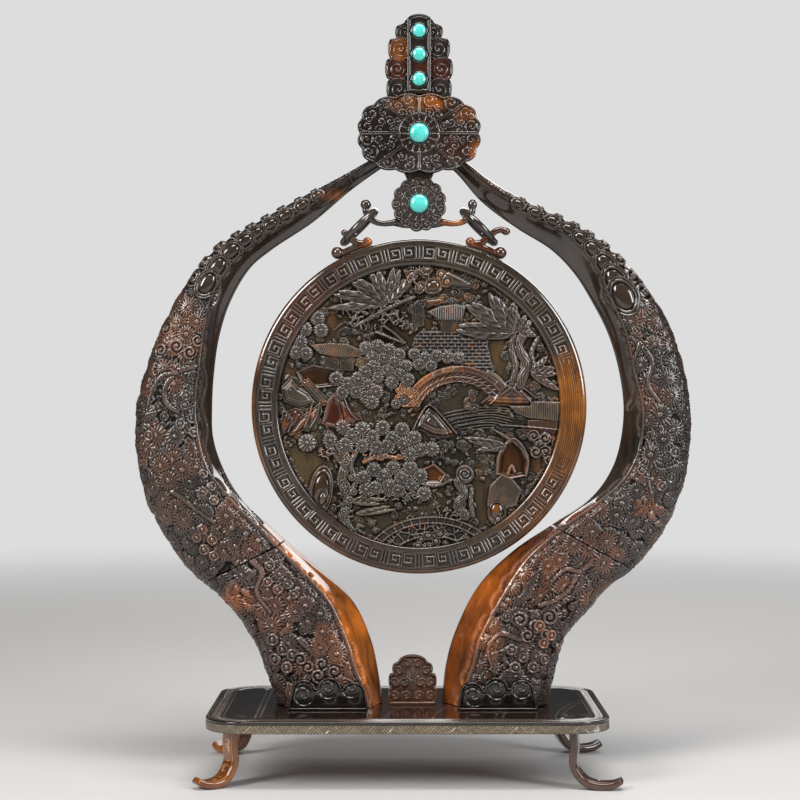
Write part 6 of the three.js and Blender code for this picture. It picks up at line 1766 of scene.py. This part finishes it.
def lugPiece(side):
    form, own, bm = lugForm, lugForm[side], bmesh.new()
    centre = rimForm["middle"][1]

    def over(x, radius):
        return x, centre + math.sqrt(radius ** 2 - x ** 2)

    barMesh(bm, [over(form["reach"] + x, form["rim"] + form["radius"]) for x in form["body"]], [form["radius"]] * 4)
    hook = [(form["reach"] + x, centre + form["rise"] + z) for x, z in form["neck"] + own["end"]]
    barMesh(bm, hook, [form["radius"]] * 3 + [form["radius"] * 0.95] * (len(hook) - 3))
    knob(bm, *hook[-1], own["tip"], (1.0, 0.9, 0.9))
    for x, radius in (form["outer"], form["inner"]):
        knob(bm, *over(form["reach"] + x, form["rim"] + radius), radius)
    colour = (lambda x, z: {"amber": smooth(-34, -26, x) * 0.9, "grey": smooth(-30, -38, x) * 0.6}) if side == "left" else (
        lambda x, z: {"red": smooth(30, 44, x) * 0.6, "amber": 0.5 * smooth(42, 36, x)})
    fusedPiece(f"{side}_lug_smooth", bm, hornBrown, "horn_amber" if side == "left" else "horn_brown", f"{side}_lug", "disc", colour, mirrored=own["mirrored"])


yokePiece()
for hangSide, hangSign in (("left", -1), ("right", 1)):
    ringPieceRound(hangSide, hangSign)
    lugPiece(hangSide)
print("stones, yoke, rings and lugs made")


# Finishing: CAD nodes kept as they are, the stage, the camera and the lights

nodeFinishes = {"horn_dark": hornDark, "horn_carved": hornCarved, "horn_olive": hornOlive, "horn_brown": hornBrown,
                "horn_amber": hornAmber, "horn_ivory": hornIvory, "turquoise": turquoise, "wood": wood}
for subpart in frame["record"]["subparts"]:
    node = frame["nodes"][subpart["node"]]
    node.data.materials.clear()
    node.data.materials.append(nodeFinishes[subpart["material_slot"]])

stageForm = {"floor": (0.5, 0.495, 0.49), "paper": (0.72, 0.72, 0.72), "near": 0.55, "far": 1.9}


def buildStage():
    bm = bmesh.new()
    bmesh.ops.create_circle(bm, cap_ends=True, segments=96, radius=9.0)
    mesh = bpy.data.meshes.new("floor")
    bm.to_mesh(mesh)
    bm.free()
    material, tree, out = newMaterial("floorPaper")
    place_ = add(tree, "TexCoord").outputs["Object"]
    away = add(tree, "VectorMath", {0: place_}, operation="LENGTH").outputs["Value"]
    fade = add(tree, "MapRange", {0: away, 1: stageForm["near"], 2: stageForm["far"], 3: 0.0, 4: 1.0}, interpolation_type="SMOOTHSTEP")
    fibres = add(tree, "TexNoise", {"Vector": place_, "Scale": 900.0, "Detail": 3.0})
    lift = add(tree, "Bump", {"Height": fibres.outputs[0], "Strength": 0.08, "Distance": 0.0003})
    shader = add(tree, "BsdfPrincipled", {"Base Color": (*stageForm["floor"], 1), "Roughness": 0.75, "Normal": lift.outputs[0]})
    glow = add(tree, "Emission", {"Color": (*stageForm["paper"], 1), "Strength": 1.0})
    rays = add(tree, "LightPath")
    blend = add(tree, "MixShader", {0: maths(tree, "MULTIPLY", fade.outputs[0], rays.outputs["Is Camera Ray"])})
    tree.links.new(shader.outputs[0], blend.inputs[1])
    tree.links.new(glow.outputs[0], blend.inputs[2])
    tree.links.new(blend.outputs[0], out.inputs[0])
    mesh.materials.append(material)
    floor = bpy.data.objects.new("floor", mesh)
    bpy.context.scene.collection.objects.link(floor)

    world = bpy.data.worlds.new("studio")
    bpy.context.scene.world = world
    world.use_nodes = True
    tree = world.node_tree
    tree.nodes.clear()
    out = add(tree, "OutputWorld")
    dim = add(tree, "Background", {"Color": (0.8, 0.82, 0.85, 1)})
    pale = add(tree, "Background", {"Color": (*stageForm["paper"], 1), "Strength": 1.0})
    rays = add(tree, "LightPath")
    seen = maths(tree, "MAXIMUM", rays.outputs["Is Camera Ray"], rays.outputs["Is Transmission Ray"])
    mirrored = maths(tree, "SUBTRACT", 1.0, maths(tree, "MULTIPLY", rays.outputs["Is Glossy Ray"], 0.75))
    tree.links.new(maths(tree, "MULTIPLY", mirrored, 0.22), dim.inputs["Strength"])
    blend = add(tree, "MixShader", {0: seen})
    tree.links.new(dim.outputs[0], blend.inputs[1])
    tree.links.new(pale.outputs[0], blend.inputs[2])
    tree.links.new(blend.outputs[0], out.inputs[0])


lights = {  # place, size, power and colour of each soft box
    "key": {"at": (-0.95, -0.95, 0.9), "size": (0.45, 0.7), "power": 19.0, "colour": (1.0, 0.97, 0.93)},
    "fill": {"at": (1.05, -0.8, 0.65), "size": (0.4, 0.7), "power": 13.0, "colour": (0.93, 0.96, 1.0)},
    "top": {"at": (0.1, -0.45, 1.25), "size": (0.8, 0.35), "power": 13.0, "colour": (1.0, 0.98, 0.96)},
    "back": {"at": (0.25, 1.1, 0.8), "size": (0.9, 0.6), "power": 5.0, "colour": (1.0, 0.97, 0.94)}}


def buildLights():
    aim = Vector((0.0, 0.0, 0.22))
    for name, form in lights.items():
        lamp = bpy.data.lights.new(name, "AREA")
        lamp.shape = "RECTANGLE"
        lamp.size, lamp.size_y = form["size"]
        lamp.energy = form["power"]
        lamp.color = form["colour"]
        thing = bpy.data.objects.new(name, lamp)
        thing.location = form["at"]
        thing.rotation_euler = (aim - Vector(form["at"])).to_track_quat("-Z", "Y").to_euler()
        bpy.context.scene.collection.objects.link(thing)


def buildCamera():
    lens = bpy.data.cameras.new("frontView")
    lens.sensor_width = 36.0
    lens.lens = view["reach"] * 36.0 / 800.0
    camera = bpy.data.objects.new("frontView", lens)
    camera.location = (view["x"] * mm, view["y"] * mm, view["z"] * mm)
    camera.rotation_euler = (math.radians(90), 0, 0)
    bpy.context.scene.collection.objects.link(camera)
    bpy.context.scene.camera = camera


buildStage()
buildLights()
buildCamera()
bpy.context.scene.view_settings.view_transform = "Standard"
print("stage, lights and camera set")
